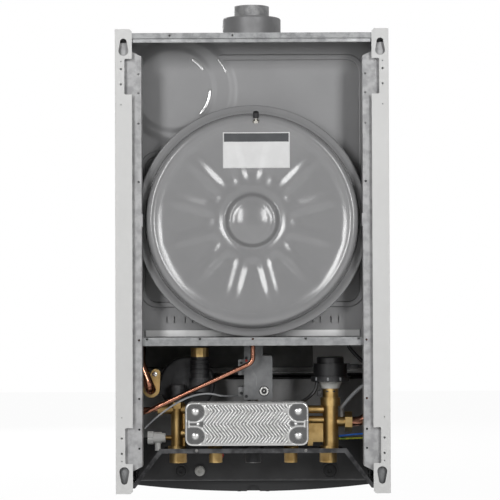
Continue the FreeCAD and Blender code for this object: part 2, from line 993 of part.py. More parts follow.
def frame_post():
    body = new_body("right_frame_post")
    low = case_bottom + s.post_end
    high = case_top - s.post_end
    front = s.post_setback + s.post_depth
    web = s.post_setback + s.post_sheet
    profile = sketch_on(body, "XY_Plane", "post_profile", low)
    polygon(profile, [
        (post_inner, -s.post_setback),
        (inside, -s.post_setback),
        (inside, -front),
        (inside - s.post_sheet, -front),
        (inside - s.post_sheet, -web),
        (post_inner + s.post_sheet, -web),
        (post_inner + s.post_sheet, -front),
        (post_inner, -front),
    ])
    pad(body, profile, high - low, "post_pad")
    body_fillet(body, s.post_sheet * bend_share, lambda edge: runs_along(edge, (0, 0, 1))
                and abs(edge.BoundBox.XMin - post_inner.value) < s.running_gap.value
                and abs(edge.BoundBox.YMax + s.post_setback.value) < s.running_gap.value, "post_bend")
    trims = sketch_on(body, "XZ_Plane", "post_trims", s.post_setback - s.overrun)
    for end, way in ((high, -1), (low, 1)):
        polygon(trims, [
            (post_inner - s.overrun, end + way * s.post_slant),
            (post_inner, end + way * s.post_slant),
            (post_inner + s.post_slant_width, end),
            (post_inner + s.post_slant_width, end - way * s.overrun),
            (post_inner - s.overrun, end - way * s.overrun),
        ])
    pocket(body, trims, s.post_depth + s.overrun * 2, "post_slants")
    holes = sketch_on(body, "XZ_Plane", "post_holes", s.post_setback - s.overrun)
    hole_shares = (0.404, 0.363, 0.297, 0.171)
    for share in hole_shares:
        for way in (-1, 1):
            level = case_middle + way * share * s.case_height
            circle(holes, post_inner + s.post_hole_inset, level, s.rivet_radius)
    pocket(body, holes, s.overrun + s.post_sheet * 2, "post_hole_cuts")
    node(mirrored("left_frame_post", body), "left_frame_post")


def top_panel():
    front = side_depth - s.panel_sheet - s.fit_gap
    sheet_slab = slab("top_sheet", (-inside, inside), (s.panel_sheet, front), (top_under, top_face))
    rear = slab("top_rear_lip", (-inside, inside), (s.panel_sheet, s.panel_sheet + s.top_sheet),
                (top_face - s.top_lip, top_face))
    fore = slab("top_front_lip", (-inside, inside), (front - s.top_sheet, front),
                (top_face - s.top_lip, top_face))
    opening = rod("top_opening", "z", (0, s.flue_depth), s.air_radius - s.flue_sheet,
                  (top_under - s.overrun, top_face + s.overrun))
    hole_shares = (0.6, 0.14)
    holes = [
        rod(f"top_hole_{n}", "depth", (half * share, top_face - s.top_lip / 2), s.rivet_radius,
            (0, s.panel_sheet + s.top_sheet * 2))
        for n, share in enumerate(hole_shares, 1)
    ]
    node(cut("top_panel", join("top_blank", sheet_slab, rear, fore), opening, *holes), "top_panel")


def front_cover():
    rear = side_depth + s.cover_gap
    low = s.fascia_top + s.seam_gap
    outer = slab("cover_block", (-half, half), (rear, s.case_depth), (low, case_top))
    inner = slab("cover_hollow", (s.cover_sheet - half, half - s.cover_sheet),
                 (rear - s.overrun, s.case_depth - s.cover_sheet),
                 (low + s.cover_sheet, case_top - s.cover_sheet))

    def front_upright(edge):
        return runs_along(edge, (0, 0, 1)) and edge.BoundBox.YMax < -rear.value - s.overrun.value

    outer = rounded("cover_outer", outer, s.cover_round, front_upright)
    inner = rounded("cover_inner", inner, s.cover_round - s.cover_sheet, front_upright)
    node(cut("front_cover", outer, inner), "front_cover")


def vessel_shelf():
    rear = s.shelf_setback
    deck = slab("shelf_deck", (-post_inner, post_inner), (rear, shelf_front), (shelf_under, shelf_level))
    lip = slab("shelf_rear_lip", (-post_inner, post_inner), (rear, rear + s.shelf_sheet),
               (shelf_level - s.shelf_lip, shelf_level))
    upstand = slab("shelf_upstand_strip", (-post_inner, post_inner),
                   (shelf_front - s.shelf_sheet, shelf_front), (shelf_under, upstand_top))
    passage = rod("shelf_passage", "z", (0, s.nipple_depth), s.vessel_pipe_radius + s.fit_gap * 3,
                  (shelf_under - s.overrun, shelf_level + s.overrun))
    pip_shares = (-0.96, -0.48, 0, 0.48, 0.96)
    pips = [
        rod(f"shelf_pip_{n}", "z", (post_inner * share, rear), s.pip_radius,
            (shelf_level - s.pip_drop, shelf_level + s.overrun))
        for n, share in enumerate(pip_shares)
    ]
    node(cut("vessel_shelf", join("shelf_blank", deck, lip, upstand), passage, *pips), "vessel_shelf")


def vessel_clips():
    """Bent clips on the posts whose legs keep the vessel's rim from tipping back."""
    middle = s.vessel_level
    low = middle - s.clip_height / 2
    high = middle + s.clip_height / 2
    face = s.post_setback - s.clip_sheet
    inner = post_inner - s.clip_sheet
    plate = slab("clip_plate", (inner, inner + s.clip_width), (face, s.post_setback), (low, high))
    leg = slab("clip_leg", (inner, post_inner), (face, s.seam_rear - s.clip_stand), (low, high))
    right = join("clip_right", plate, leg)
    node(group("vessel_clips", right, mirrored("clip_left", right)), "vessel_clips")


def pipe_bracket():
    body = new_body("pipe_bracket")
    knee_share = 0.48
    knee = s.bracket_sheet * knee_share
    upper = [
        (-inside, s.foot_level),
        (-leg_half, s.foot_level),
        (-bracket_half, s.bracket_level),
        (bracket_half, s.bracket_level),
        (leg_half, s.foot_level),
        (inside, s.foot_level),
    ]
    foot_under = s.foot_level - s.bracket_sheet
    lower = [
        (inside, foot_under),
        (leg_half - knee, foot_under),
        (bracket_half - knee, bracket_under),
        (knee - bracket_half, bracket_under),
        (knee - leg_half, foot_under),
        (-inside, foot_under),
    ]
    strip = sketch_on(body, "XZ_Plane", "bracket_strip", s.bracket_setback)
    polygon(strip, upper + lower)
    pad(body, strip, s.bracket_front - s.bracket_setback, "bracket_pad")
    rise = s.bracket_lip * knee_share
    lip = sketch_on(body, "XZ_Plane", "bracket_lip_outline", s.bracket_setback)
    polygon(lip, [
        (-leg_half - s.bracket_lip, s.foot_level),
        (-bracket_half - rise, s.bracket_level + s.bracket_lip),
        (bracket_half + rise, s.bracket_level + s.bracket_lip),
        (leg_half + s.bracket_lip, s.foot_level),
        (leg_half, s.foot_level),
        (bracket_half, s.bracket_level),
        (-bracket_half, s.bracket_level),
        (-leg_half, s.foot_level),
    ])
    pad(body, lip, s.bracket_sheet, "bracket_lip_pad")
    ears = sketch_on(body, "XZ_Plane", "bracket_ears", pivot_depth - s.ear_length / 2)
    ear_inner = box_half + s.ear_thickness
    for way in (-1, 1):
        polygon(ears, [
            (way * ear_inner, foot_under),
            (way * ear_inner, s.foot_level + s.ear_height),
            (way * (ear_inner + s.ear_thickness), s.foot_level + s.ear_height),
            (way * (ear_inner + s.ear_thickness), foot_under),
        ])
    arms = sketch_on(body, "XZ_Plane", "bracket_arms", s.bracket_front - s.overrun)
    for way in (-1, 1):
        polygon(arms, [
            (way * ear_inner, foot_under),
            (way * ear_inner, s.foot_level),
            (way * inside, s.foot_level),
            (way * inside, foot_under),
        ])
    pad(body, arms, pivot_depth + s.ear_length / 2 - s.bracket_front + s.overrun, "arm_pad")
    pad(body, ears, s.ear_length, "ear_pad")
    pins = sketch_on(body, "YZ_Plane", "pivot_holes")
    circle(pins, -pivot_depth, s.pivot_level, s.pivot_radius + s.running_gap)
    pin_cut = body.newObject("PartDesign::Pocket", "pivot_cut")
    pin_cut.Profile = pins
    pin_cut.Midplane = True
    bind(pin_cut, "Length", s.case_width)
    holes = sketch_on(body, "XY_Plane", "connector_holes", s.bracket_level + s.overrun)
    for pitches in range(-2, 3):
        radius = s.thread_small if pitches % 2 else s.thread_large
        circle(holes, connector_pitch * pitches, -s.connector_depth, radius + s.fit_gap)
    hole_cut = body.newObject("PartDesign::Pocket", "connector_cut")
    hole_cut.Profile = holes
    bind(hole_cut, "Length", s.overrun * 2)


# sealed chamber

def field_ring(sketch, reach):
    """Ring of that reach to either side of the field's border, which steps down below the pressed disc."""
    for grow in (reach, -reach):
        side = field_half + grow
        step = disc_x - s.field_step + grow
        level = s.field_step_level + grow
        low = field_bottom - grow
        high = s.field_top + grow
        points = [(-side, low), (side, low), (side, level), (step, level), (step, high), (-side, high)]
        radii = [s.field_round + grow] * 6
        radii[3] = s.field_round - grow
        soft_polygon(sketch, points, radii)


def beaded_sheet():
    """Rear sheet with a raised bead around its field, hollow from the front."""
    body = doc.addObject("PartDesign::Body", "beaded_sheet")
    edge = chamber_half - s.wall_sheet
    face = s.wall_setback - s.bead_rise
    outline = sketch_on(body, "XZ_Plane", "wall_outline", s.wall_setback)
    polygon(outline, [(-edge, shelf_under), (edge, shelf_under), (edge, top_under), (-edge, top_under)])
    pad(body, outline, s.wall_sheet, "wall_pad")
    bead = sketch_on(body, "XZ_Plane", "bead_outline", face)
    field_ring(bead, s.bead_radius)
    pad(body, bead, s.bead_rise + s.wall_sheet / 2, "bead_pad")
    round_share = 0.8
    body_fillet(body, s.bead_rise * round_share,
                lambda e: e.BoundBox.YMin > -face.value - s.running_gap.value, "bead_round")
    channel = sketch_on(body, "XZ_Plane", "bead_channel", face + s.wall_sheet)
    field_ring(channel, s.bead_radius - s.bead_rise)
    pocket(body, channel, s.bead_rise + s.overrun, "bead_channel_cut")
    return body


def chamber_rear_wall():
    edge = chamber_half - s.wall_sheet
    inset = s.wall_sheet
    raised = []
    hollow = []
    for name, x, z, radius, rise in (
        ("wall_disc", disc_x, s.disc_z, s.disc_radius, s.disc_rise),
        ("wall_boss", boss_x, s.boss_z, s.boss_radius, s.boss_rise),
    ):
        face = s.wall_setback - rise
        outer = rod(name, "depth", (x, z), radius, (face, wall_front))
        raised.append(rounded(f"{name}_pressed", outer, s.press_round,
                              lambda e, r=radius, d=face: ring_near(e, r, d)))
        hollow.append(rod(f"{name}_hollow", "depth", (x, z), radius - s.press_round,
                          (face + inset, wall_front + s.overrun)))
    raised.append(slab("wall_fold", (-edge, edge), (s.wall_setback - s.fold_rise, wall_front),
                       (upstand_top, fold_level)))
    lance_face = s.wall_setback - s.fold_rise * 2
    reach = s.lance_width / 2
    level = (lance_level - reach, lance_level + reach)
    for n, across in enumerate((s.lance_inner, s.lance_outer, -s.lance_inner, -s.lance_outer), 1):
        raised.append(slab(f"lance_{n}", (across - reach, across + reach), (lance_face, wall_front), level))
        for side, edge_x in (("left", across + reach), ("right", across - reach - s.lance_slot)):
            hollow.append(slab(f"lance_slot_{n}_{side}", (edge_x, edge_x + s.lance_slot),
                               (lance_face - s.overrun, wall_front + s.overrun), level))
    blank = join("wall_blank", beaded_sheet(), *raised)
    node(cut("chamber_rear_wall", blank, *hollow), "chamber_rear_wall")


def chamber_shell():
    floor = slab("chamber_floor", (-chamber_half, chamber_half), (wall_front, chamber_front),
                 (shelf_under, shelf_under + s.wall_sheet))
    walls = [
        slab(f"chamber_wall_{name}", span, (s.wall_setback, chamber_front), (shelf_under, top_under))
        for name, span in (("right", (chamber_half - s.wall_sheet, chamber_half)),
                           ("left", (-chamber_half, s.wall_sheet - chamber_half)))
    ]
    passages = [
        rod(f"floor_hole_{name}", "z", (x, depth), radius + s.fit_gap,
            (shelf_under - s.overrun, shelf_level + s.overrun))
        for name, x, depth, radius in (
            ("return", return_pipe_x, s.connector_depth, s.return_pipe_radius),
            ("flow", flow_pipe_x, s.connector_depth, s.flow_pipe_radius),
            ("gas", s.feed_x, rail_depth, s.rail_radius),
        )
    ]
    node(cut("chamber_shell", join("chamber_blank", floor, *walls), *passages), "chamber_shell")


def chamber_front_plate():
    margin = s.front_margin
    low = shelf_under
    face = chamber_front + s.wall_sheet
    plate = slab("front_plate_sheet", (-chamber_half, chamber_half), (chamber_front, face), (low, top_under))
    field = slab("front_plate_field", (margin - chamber_half, chamber_half - margin),
                 (chamber_front, face + s.front_field), (low + margin, top_under - margin))
    field = rounded("front_plate_pressed", field, s.front_field / 2,
                    lambda e: e.BoundBox.YMax < -(face.value + s.front_field.value) + s.running_gap.value)
    hollow_share = 1.2
    border = margin * hollow_share
    hollow = slab("front_plate_hollow", (border - chamber_half, chamber_half - border),
                  (chamber_front - s.overrun, face + s.front_field - s.wall_sheet),
                  (low + border, top_under - border))
    node(cut("chamber_front_plate", join("front_plate_blank", plate, field), hollow), "chamber_front_plate")


def combustion_box():
    floor = shelf_under + s.wall_sheet
    outer = slab("fire_block", (-fire_half, fire_half), (fire_rear, fire_front), (floor, s.fire_top))
    inner = slab("fire_hollow", (s.fire_sheet - fire_half, fire_half - s.fire_sheet),
                 (fire_rear + s.fire_sheet, fire_front - s.fire_sheet),
                 (floor - s.overrun, s.fire_top + s.overrun))
    window_share = 1.5
    reach = s.rail_radius * window_share
    window = slab("fire_window", (-burner_half, burner_half),
                  (fire_rear - s.overrun, fire_rear + s.fire_sheet + s.overrun),
                  (rail_level - reach, rail_level + reach))
    node(cut("combustion_box", outer, inner, window), "combustion_box")


def burner():
    floor = shelf_under + s.wall_sheet
    rear = fire_rear + s.burner_margin
    front = fire_front - s.burner_margin
    tray = slab("burner_tray", (-burner_half, burner_half), (rear, front), (burner_base, burner_top))
    wall = s.fire_sheet
    hollow = slab("burner_hollow", (wall - burner_half, burner_half - wall), (rear + wall, front - wall),
                  (burner_base - s.overrun, burner_top - wall))
    parts = [cut("burner_tray_open", tray, hollow)]
    for name, way in (("right", 1), ("left", -1)):
        inner = way * (burner_half - s.blade_width)
        span = (inner, way * burner_half) if way > 0 else (-burner_half, inner)
        parts.append(slab(f"burner_leg_{name}", span, (rear, front), (floor, burner_base)))
    count = int(2 * burner_half.value // s.blade_pitch.value)
    for n in range(count):
        across = (n - (count - 1) / 2) * s.blade_pitch
        parts.append(slab(f"burner_blade_{n}", (across - s.blade_width / 2, across + s.blade_width / 2),
                          (rear, front), (burner_top, burner_top + s.blade_height)))
    node(join("burner", *parts), "burner")


def burner_manifold():
    parts = [rod("gas_rail", "x", (rail_depth, rail_level), s.rail_radius, (-burner_half, burner_half))]
    count = int(2 * burner_half.value // s.blade_pitch.value)
    for n in range(count):
        across = (n - (count - 1) / 2) * s.blade_pitch
        parts.append(rod(f"gas_jet_{n}", "depth", (across, rail_level), s.jet_radius,
                         (rail_depth, fire_rear + s.burner_margin)))
    node(join("burner_manifold", *parts), "burner_manifold")


def main_exchanger():
    """Finned tubes between two end plates, with the header that the copper pipes meet."""
    low = s.fire_top
    high = s.fire_top + s.exchanger_height
    ends = fire_half
    count = int(2 * ends.value // s.fin_pitch.value)
    parts = []
    for n in range(count):
        across = (n - (count - 1) / 2) * s.fin_pitch
        parts.append(slab(f"exchanger_fin_{n}", (across - s.fin_sheet / 2, across + s.fin_sheet / 2),
                          (fire_rear, fire_front), (low, high)))
    pitch = (fire_front - s.connector_depth - s.header_radius - s.fin_depth) / 4
    tube_share = 0.7
    reach = s.header_radius * tube_share
    for n in range(5):
        middle = s.connector_depth + pitch * n
        parts.append(slab(f"exchanger_tube_{n}", (-ends, ends), (middle - reach, middle + reach),
                          (header_level - reach, header_level + reach)))
    for name, span, port in (
        ("right", (ends - s.fin_sheet, ends), (ends - s.fin_sheet, return_pipe_x - s.return_pipe_bend)),
        ("left", (-ends, s.fin_sheet - ends), (flow_pipe_x + s.flow_pipe_bend, s.fin_sheet - ends)),
    ):
        parts.append(slab(f"exchanger_end_{name}", span, (fire_rear, fire_front), (low, high)))
        parts.append(rod(f"exchanger_port_{name}", "x", (s.connector_depth, header_level), s.header_radius,
                         port))
    node(join("main_exchanger", *parts), "main_exchanger")


def wedge(name, foot_x, foot_depth, top_x, top_depth, z):
    """Tapered block between a foot and a top rectangle."""
    item = doc.addObject("Part::Wedge", name)
    bind(item, "Xmin", foot_x[0])
    bind(item, "Xmax", foot_x[1])
    bind(item, "X2min", top_x[0])
    bind(item, "X2max", top_x[1])
    bind(item, "Ymin", z[0])
    bind(item, "Ymax", z[1])
    bind(item, "Zmin", foot_depth[0])
    bind(item, "Zmax", foot_depth[1])
    bind(item, "Z2min", top_depth[0])
    bind(item, "Z2max", top_depth[1])
    item.Placement = FreeCAD.Placement(FreeCAD.Vector(), axis_turns["depth"])
    return item


def flue_hood():
    low = s.fire_top + s.exchanger_height
    high = s.fan_level - s.fan_radius
    front = s.flue_depth + s.fan_half_depth
    mouth_share = 0.6
    reach = s.fan_radius * mouth_share
    wall = s.hood_sheet
    outer = wedge("hood_block", (-fire_half, fire_half), (fire_rear, fire_front),
                  (s.fan_x - reach, s.fan_x + reach), (fire_rear, front), (low, high))
    inner = wedge("hood_hollow", (wall - fire_half, fire_half - wall), (fire_rear + wall, fire_front - wall),
                  (s.fan_x - reach + wall, s.fan_x + reach - wall), (fire_rear + wall, front - wall),
                  (low - wall, high + wall))
    node(cut("flue_hood", outer, inner), "flue_hood")


def fan_assembly():
    rear = s.flue_depth - s.fan_half_depth
    front = s.flue_depth + s.fan_half_depth
    centre = (s.fan_x, s.fan_level)
    wall = s.fan_sheet
    round_part = rod("scroll_round", "depth", centre, s.fan_radius, (rear, front))
    duct = slab("scroll_duct", (-s.duct_half, s.duct_half), (rear, front), (s.fan_level, s.duct_top))
    sleeve = s.flue_radius - s.flue_sheet - s.fit_gap
    spout = rod("scroll_spout", "z", (0, s.flue_depth), sleeve, (s.duct_top, top_under))
    hollow = rod("scroll_hollow", "depth", centre, s.fan_radius - wall, (rear + wall, front - wall))
    duct_hollow = slab("scroll_duct_hollow", (wall - s.duct_half, s.duct_half - wall),
                       (rear + wall, front - wall), (s.fan_level, s.duct_top - wall))
    spout_hollow = rod("scroll_spout_hollow", "z", (0, s.flue_depth), sleeve - wall,
                       (s.duct_top - wall * 2, top_under + s.overrun))
    inlet = rod("scroll_inlet", "depth", centre, s.fan_inlet, (rear - s.overrun, rear + wall * 2))
    shaft_hole = rod("scroll_shaft_hole", "depth", centre, s.fan_shaft * 2,
                     (front - wall * 2, front + s.overrun))
    blank = join("scroll_blank", round_part, duct, spout)
    scroll = cut("fan_scroll", blank, hollow, duct_hollow, spout_hollow, inlet, shaft_hole)
    node(scroll, "fan_scroll")
    wheel_rear = s.flue_depth - s.wheel_half_depth
    wheel_front = s.flue_depth + s.wheel_half_depth
    disc = rod("wheel_disc", "depth", centre, s.wheel_radius, (wheel_front - s.vane_sheet, wheel_front))
    shaft = rod("wheel_axle", "depth", centre, s.fan_shaft, (s.flue_depth, front + s.fan_motor_length / 2))
    hoop = cut("wheel_hoop", rod("wheel_hoop_disc", "depth", centre, s.wheel_radius,
                                 (wheel_rear, wheel_rear + s.vane_sheet)),
               rod("wheel_hoop_eye", "depth", centre, s.wheel_radius - s.vane_depth,
                   (wheel_rear - s.overrun, wheel_rear + s.overrun)))
    vanes = []
    vane_count = 20
    for n in range(vane_count):
        vane = doc.addObject("Part::Box", f"wheel_vane_{n}")
        bind(vane, "Length", s.vane_depth - s.vane_sheet)
        bind(vane, "Width", s.wheel_half_depth * 2)
        bind(vane, "Height", s.vane_sheet)
        turn = 2 * math.pi * n / vane_count
        reach = s.wheel_radius - s.vane_depth
        vane.Placement.Rotation = FreeCAD.Rotation(FreeCAD.Vector(0, 1, 0), -math.degrees(turn))
        bind(vane, "Placement.Base.x", s.fan_x + reach * math.cos(turn))
        bind(vane, "Placement.Base.y", -wheel_front)
        bind(vane, "Placement.Base.z", s.fan_level + reach * math.sin(turn))
        vanes.append(vane)
    node(join("fan_impeller", disc, shaft, hoop, *vanes), "fan_impeller")
    can = rod("fan_can", "depth", centre, s.fan_motor_radius, (front, front + s.fan_motor_length))
    bore = rod("fan_can_bore", "depth", centre, s.fan_shaft + s.running_gap,
               (front - s.overrun, front + s.fan_motor_length / 2 + s.fit_gap))
    node(cut("fan_motor", can, bore), "fan_motor")


def flue():
    axis = (0, s.flue_depth)
    collar = rod("air_collar", "z", axis, s.air_radius, (top_face, s.air_top))
    collar = rounded("air_collar_rounded", collar, s.air_round,
                     lambda e: isinstance(e.Curve, Part.Circle)
                     and e.BoundBox.ZMin > top_face.value + s.overrun.value)
    base = rod("air_flange", "z", axis, s.turret_flange, (top_face, top_face + s.turret_flange_sheet))
    bore = rod("air_bore", "z", axis, s.air_radius - s.air_round,
               (top_face - s.overrun, s.air_top + s.overrun))
    node(cut("flue_turret", join("turret_blank", collar, base), bore), "flue_turret")
    pipe = rod("exhaust_pipe", "z", axis, s.flue_radius, (s.duct_top, s.flue_top))
    hole = rod("exhaust_bore", "z", axis, s.flue_radius - s.flue_sheet,
               (s.duct_top - s.overrun, s.flue_top + s.overrun))
    node(cut("flue_spigot", pipe, hole), "flue_spigot")


# expansion vessel, turned about its own Y axis

def vessel_body(label):
    body = new_body(label)
    bind(body, "Placement.Base.z", s.vessel_level)
    return body


def ring_edge(radius, depth):
    return lambda edge: ring_near(edge, as_size(radius), depth)


def vessel_rear_shell():
    body = vessel_body("vessel_rear_shell")
    wall = s.shell_wall
    bead = vessel_radius - s.seam_wall - s.fit_gap
    neck = vessel_radius - s.seam_lip - s.fit_gap
    flange = s.seam_rear + s.seam_wall
    profile = sketch_on(body, "YZ_Plane", "rear_shell_profile")
    outer = [
        (s.knob_depth, 0),
        (s.knob_shoulder, s.knob_radius),
        (s.valley_depth, s.valley_radius),
        (s.ring_depth, s.ring_radius),
        (s.dish_depth, dish_radius),
        (s.crest_depth, crest_inner),
        (s.crest_depth, crest_outer),
        (flange, neck),
        (flange, bead),
    ]
    inner = [
        (flange + wall, bead),
        (flange + wall, neck - wall),
        (s.crest_depth + wall, crest_outer - wall),
        (s.crest_depth + wall, crest_inner + wall / 2),
        (s.dish_depth + wall, dish_radius + wall / 2),
        (s.ring_depth + wall, s.ring_radius),
        (s.valley_depth + wall, s.valley_radius),
        (s.knob_shoulder + wall, s.knob_radius - wall),
        (s.knob_depth + wall, 0),
    ]
    polygon(profile, [(-as_size(depth), radius) for depth, radius in outer + inner])
    revolve(body, profile, "Y_Axis", "rear_shell_turn")
    body_fillet(body, s.knob_round, ring_edge(s.knob_radius, s.knob_shoulder), "knob_fillet")
    body_fillet(body, s.ring_round, lambda edge: ring_near(edge, s.valley_radius, s.valley_depth)
                or ring_near(edge, s.ring_radius, s.ring_depth), "ring_fillet")
    body_fillet(body, s.shoulder_round, lambda edge: ring_near(edge, crest_outer, s.crest_depth)
                or ring_near(edge, crest_inner, s.crest_depth), "crest_fillet")
    body_fillet(body, s.dish_round, ring_edge(dish_radius, s.dish_depth), "dish_fillet")
    rib = body.newObject("PartDesign::AdditiveEllipsoid", "rib")
    rib_start = s.ring_radius + s.rib_start_gap
    rib_end = dish_radius - s.rib_end_gap
    rib_middle = (rib_start + rib_end) / 2
    bind(rib, "Radius2", (rib_end - rib_start) / 2)
    bind(rib, "Radius3", s.rib_width / 2)
    bind(rib, "Radius1", s.rib_height)
    share = (rib_middle - s.ring_radius) / (dish_radius - s.ring_radius)
    surface = s.ring_depth + (s.dish_depth - s.ring_depth) * share
    first = math.pi / rib_total()
    upright = FreeCAD.Rotation(FreeCAD.Vector(0, 1, 0), math.degrees(-first))
    lean = FreeCAD.Rotation(FreeCAD.Vector(0, 0, 1), -s.rib_tilt.value)
    lie = FreeCAD.Rotation(FreeCAD.Vector(1, 0, 0), 90)
    rib.Placement = FreeCAD.Placement(FreeCAD.Vector(), upright.multiply(lean).multiply(lie))
    bind(rib, "Placement.Base.x", rib_middle * math.cos(first))
    bind(rib, "Placement.Base.y", -(surface + s.rib_sink))
    bind(rib, "Placement.Base.z", rib_middle * math.sin(first))
    doc.recompute()
    ribs = body.newObject("PartDesign::PolarPattern", "ribs")
    ribs.Originals = [rib]
    axis = [feature for feature in body.Origin.OriginFeatures if feature.Role == "Y_Axis"][0]
    ribs.Axis = (axis, [""])
    ribs.Angle = 360.0
    bind(ribs, "Occurrences", s.rib_count)
    body.Tip = ribs


def rib_total():
    return int(s.rib_count.value)


def vessel_front_shell():
    body = vessel_body("vessel_front_shell")
    wall = s.shell_wall
    bead = vessel_radius - s.seam_wall - s.fit_gap
    neck = vessel_radius - s.seam_lip - s.fit_gap
    flange = s.seam_front - s.seam_wall
    deep = s.front_shell_depth
    profile = sketch_on(body, "YZ_Plane", "front_shell_profile")
    points = [
        (flange - wall, bead),
        (flange, bead),
        (flange, neck),
        (deep, neck - s.front_shell_round),
        (deep, 0),
        (deep - wall, 0),
        (deep - wall, neck - s.front_shell_round - wall),
        (flange - wall, neck - wall),
    ]
    polygon(profile, [(-as_size(depth), radius) for depth, radius in points])
    revolve(body, profile, "Y_Axis", "front_shell_turn")
    body_fillet(body, s.front_shell_round, ring_edge(neck - s.front_shell_round, deep), "front_shell_fillet")
    stub = sketch_on(body, "XY_Plane", "nipple_outline", -nipple_drop)
    circle(stub, 0, -s.nipple_depth, s.nipple_radius)
    root_share = 0.66
    pad(body, stub, nipple_drop - neck + s.front_shell_round * root_share, "nipple")


def vessel_seam():
    body = vessel_body("vessel_crimp_ring")
    outer = vessel_radius
    lip = vessel_radius - s.seam_lip
    wall = s.seam_wall
    profile = sketch_on(body, "YZ_Plane", "crimp_profile")
    groove = lip + s.crimp_inset
    groove_floor = s.seam_rear + s.crimp_groove_depth
    points = [
        (s.seam_rear, lip),
        (s.seam_rear, groove),
        (groove_floor, groove),
        (groove_floor, groove + s.crimp_groove),
        (s.seam_rear, groove + s.crimp_groove),
        (s.seam_rear, outer),
        (s.seam_front, outer),
        (s.seam_front, lip),
        (s.seam_front - wall, lip),
        (s.seam_front - wall, outer - wall),
        (s.seam_rear + wall, outer - wall),
        (s.seam_rear + wall, lip),
    ]
    polygon(profile, [(-as_size(depth), radius) for depth, radius in points])
    revolve(body, profile, "Y_Axis", "crimp_turn")
    round_share = 1.5
    body_fillet(body, s.seam_wall * round_share, lambda edge: ring_near(edge, outer), "crimp_round")


def vessel_diaphragm():
    body = vessel_body("vessel_diaphragm")
    rear = s.seam_rear + s.seam_wall + s.shell_wall
    front = s.seam_front - s.seam_wall - s.shell_wall
    bead = vessel_radius - s.seam_wall - s.fit_gap
    neck_share = 1.6
    neck = vessel_radius - s.seam_lip * neck_share
    sag = rear + s.diaphragm_sag
    profile = sketch_on(body, "YZ_Plane", "diaphragm_profile")
    points = [
        (rear, bead),
        (front, bead),
        (front, neck),
        (sag + s.diaphragm_wall, dish_radius),
        (sag + s.diaphragm_wall, 0),
        (sag, 0),
        (sag, dish_radius + s.diaphragm_wall),
        (rear, neck + s.diaphragm_wall),
    ]
    polygon(profile, [(-as_size(depth), radius) for depth, radius in points])
    revolve(body, profile, "Y_Axis", "diaphragm_turn")


def tilted_rod(name, radius, start, length, tilt):
    """Rod out of the vessel's shoulder, leaning back from upright by the valve's tilt."""
    item = doc.addObject("Part::Cylinder", name)
    bind(item, "Radius", radius)
    bind(item, "Height", length)
    item.Placement.Rotation = FreeCAD.Rotation(FreeCAD.Vector(1, 0, 0), -tilt.value)
    lean = math.radians(tilt.value)
    bind(item, "Placement.Base.x", s.valve_x)
    bind(item, "Placement.Base.y", -s.crest_depth + start * math.sin(lean))
    bind(item, "Placement.Base.z", s.vessel_level + crest_inner + start * math.cos(lean))
    return item


def vessel_valve():
    collar = tilted_rod("valve_collar_rod", s.valve_collar, as_size(0), s.valve_collar_height, s.valve_tilt)
    stem = tilted_rod("valve_stem_rod", s.valve_radius, s.valve_collar_height, s.valve_length, s.valve_tilt)
    inner = slab("valve_trim", (-vessel_radius, vessel_radius), (s.crest_depth, s.seam_front),
                 (s.vessel_level, case_top))
    node(cut("vessel_valve", join("valve_blank", collar, stem), inner), "vessel_valve")
    cap = tilted_rod("cap_rod", s.valve_cap_radius, s.valve_collar_height + s.valve_bare, s.valve_cap_length,
                     s.valve_tilt)
    hole = tilted_rod("cap_hole", s.valve_radius + s.running_gap, s.valve_collar_height,
                      s.valve_length + s.fit_gap, s.valve_tilt)
    node(cut("vessel_valve_cap", cap, hole), "vessel_valve_cap")


def nodes_by_label(label):
    return [item for item in nodes if item.Label == label][0]


def vessel_pipe():
    depth = s.nipple_depth
    knee_share = 1.6
    bend_radius_share = 0.7
    points = [
        at(0, depth, s.vessel_level - nipple_drop),
        at(0, depth, s.gas_top - s.vessel_pipe_bend / 2),
        at(post_inner, depth, s.branch_top - s.vessel_pipe_radius / 2),
        at(post_inner + s.vessel_pipe_bend, depth + s.vessel_pipe_bend * knee_share, s.branch_top),
        at(post_inner + s.vessel_pipe_bend, s.connector_depth, s.branch_top),
        at(branch_end, s.connector_depth, s.branch_top),
    ]
    tube("vessel_pipe", points, s.vessel_pipe_radius, s.vessel_pipe_bend * bend_radius_share)


# water side

def port_places():
    return [(x, z) for x in (port_left, port_right) for z in (port_high, port_low)]


def exchanger_stack():
    body = new_body("exchanger_plate_stack")
    start = s.plate_rear + s.plate_cover
    core = sketch_on(body, "XZ_Plane", "stack_core", start)
    inset = s.plate_groove
    round_box(core, (plate_right + inset, plate_left - inset), (plate_low + inset, s.plate_top - inset),
              s.plate_round - inset)
    pad(body, core, s.plate_front - start, "stack_core_pad")
    rim = sketch_on(body, "XZ_Plane", "stack_rim", start + s.plate_step - s.plate_rim)
    round_box(rim, (plate_right, plate_left), (plate_low, s.plate_top), s.plate_round)
    rim_pad = pad(body, rim, s.plate_rim, "stack_rim_pad")
    doc.recompute()
    rims = body.newObject("PartDesign::LinearPattern", "stack_rims")
    rims.Originals = [rim_pad]
    axis = [feature for feature in body.Origin.OriginFeatures if feature.Role == "Y_Axis"][0]
    rims.Direction = (axis, [""])
    rims.Reversed = True
    count = int((s.plate_front - start).value // s.plate_step.value)
    bind(rims, "Length", s.plate_step * (count - 1))
    rims.Occurrences = count
    body.Tip = rims


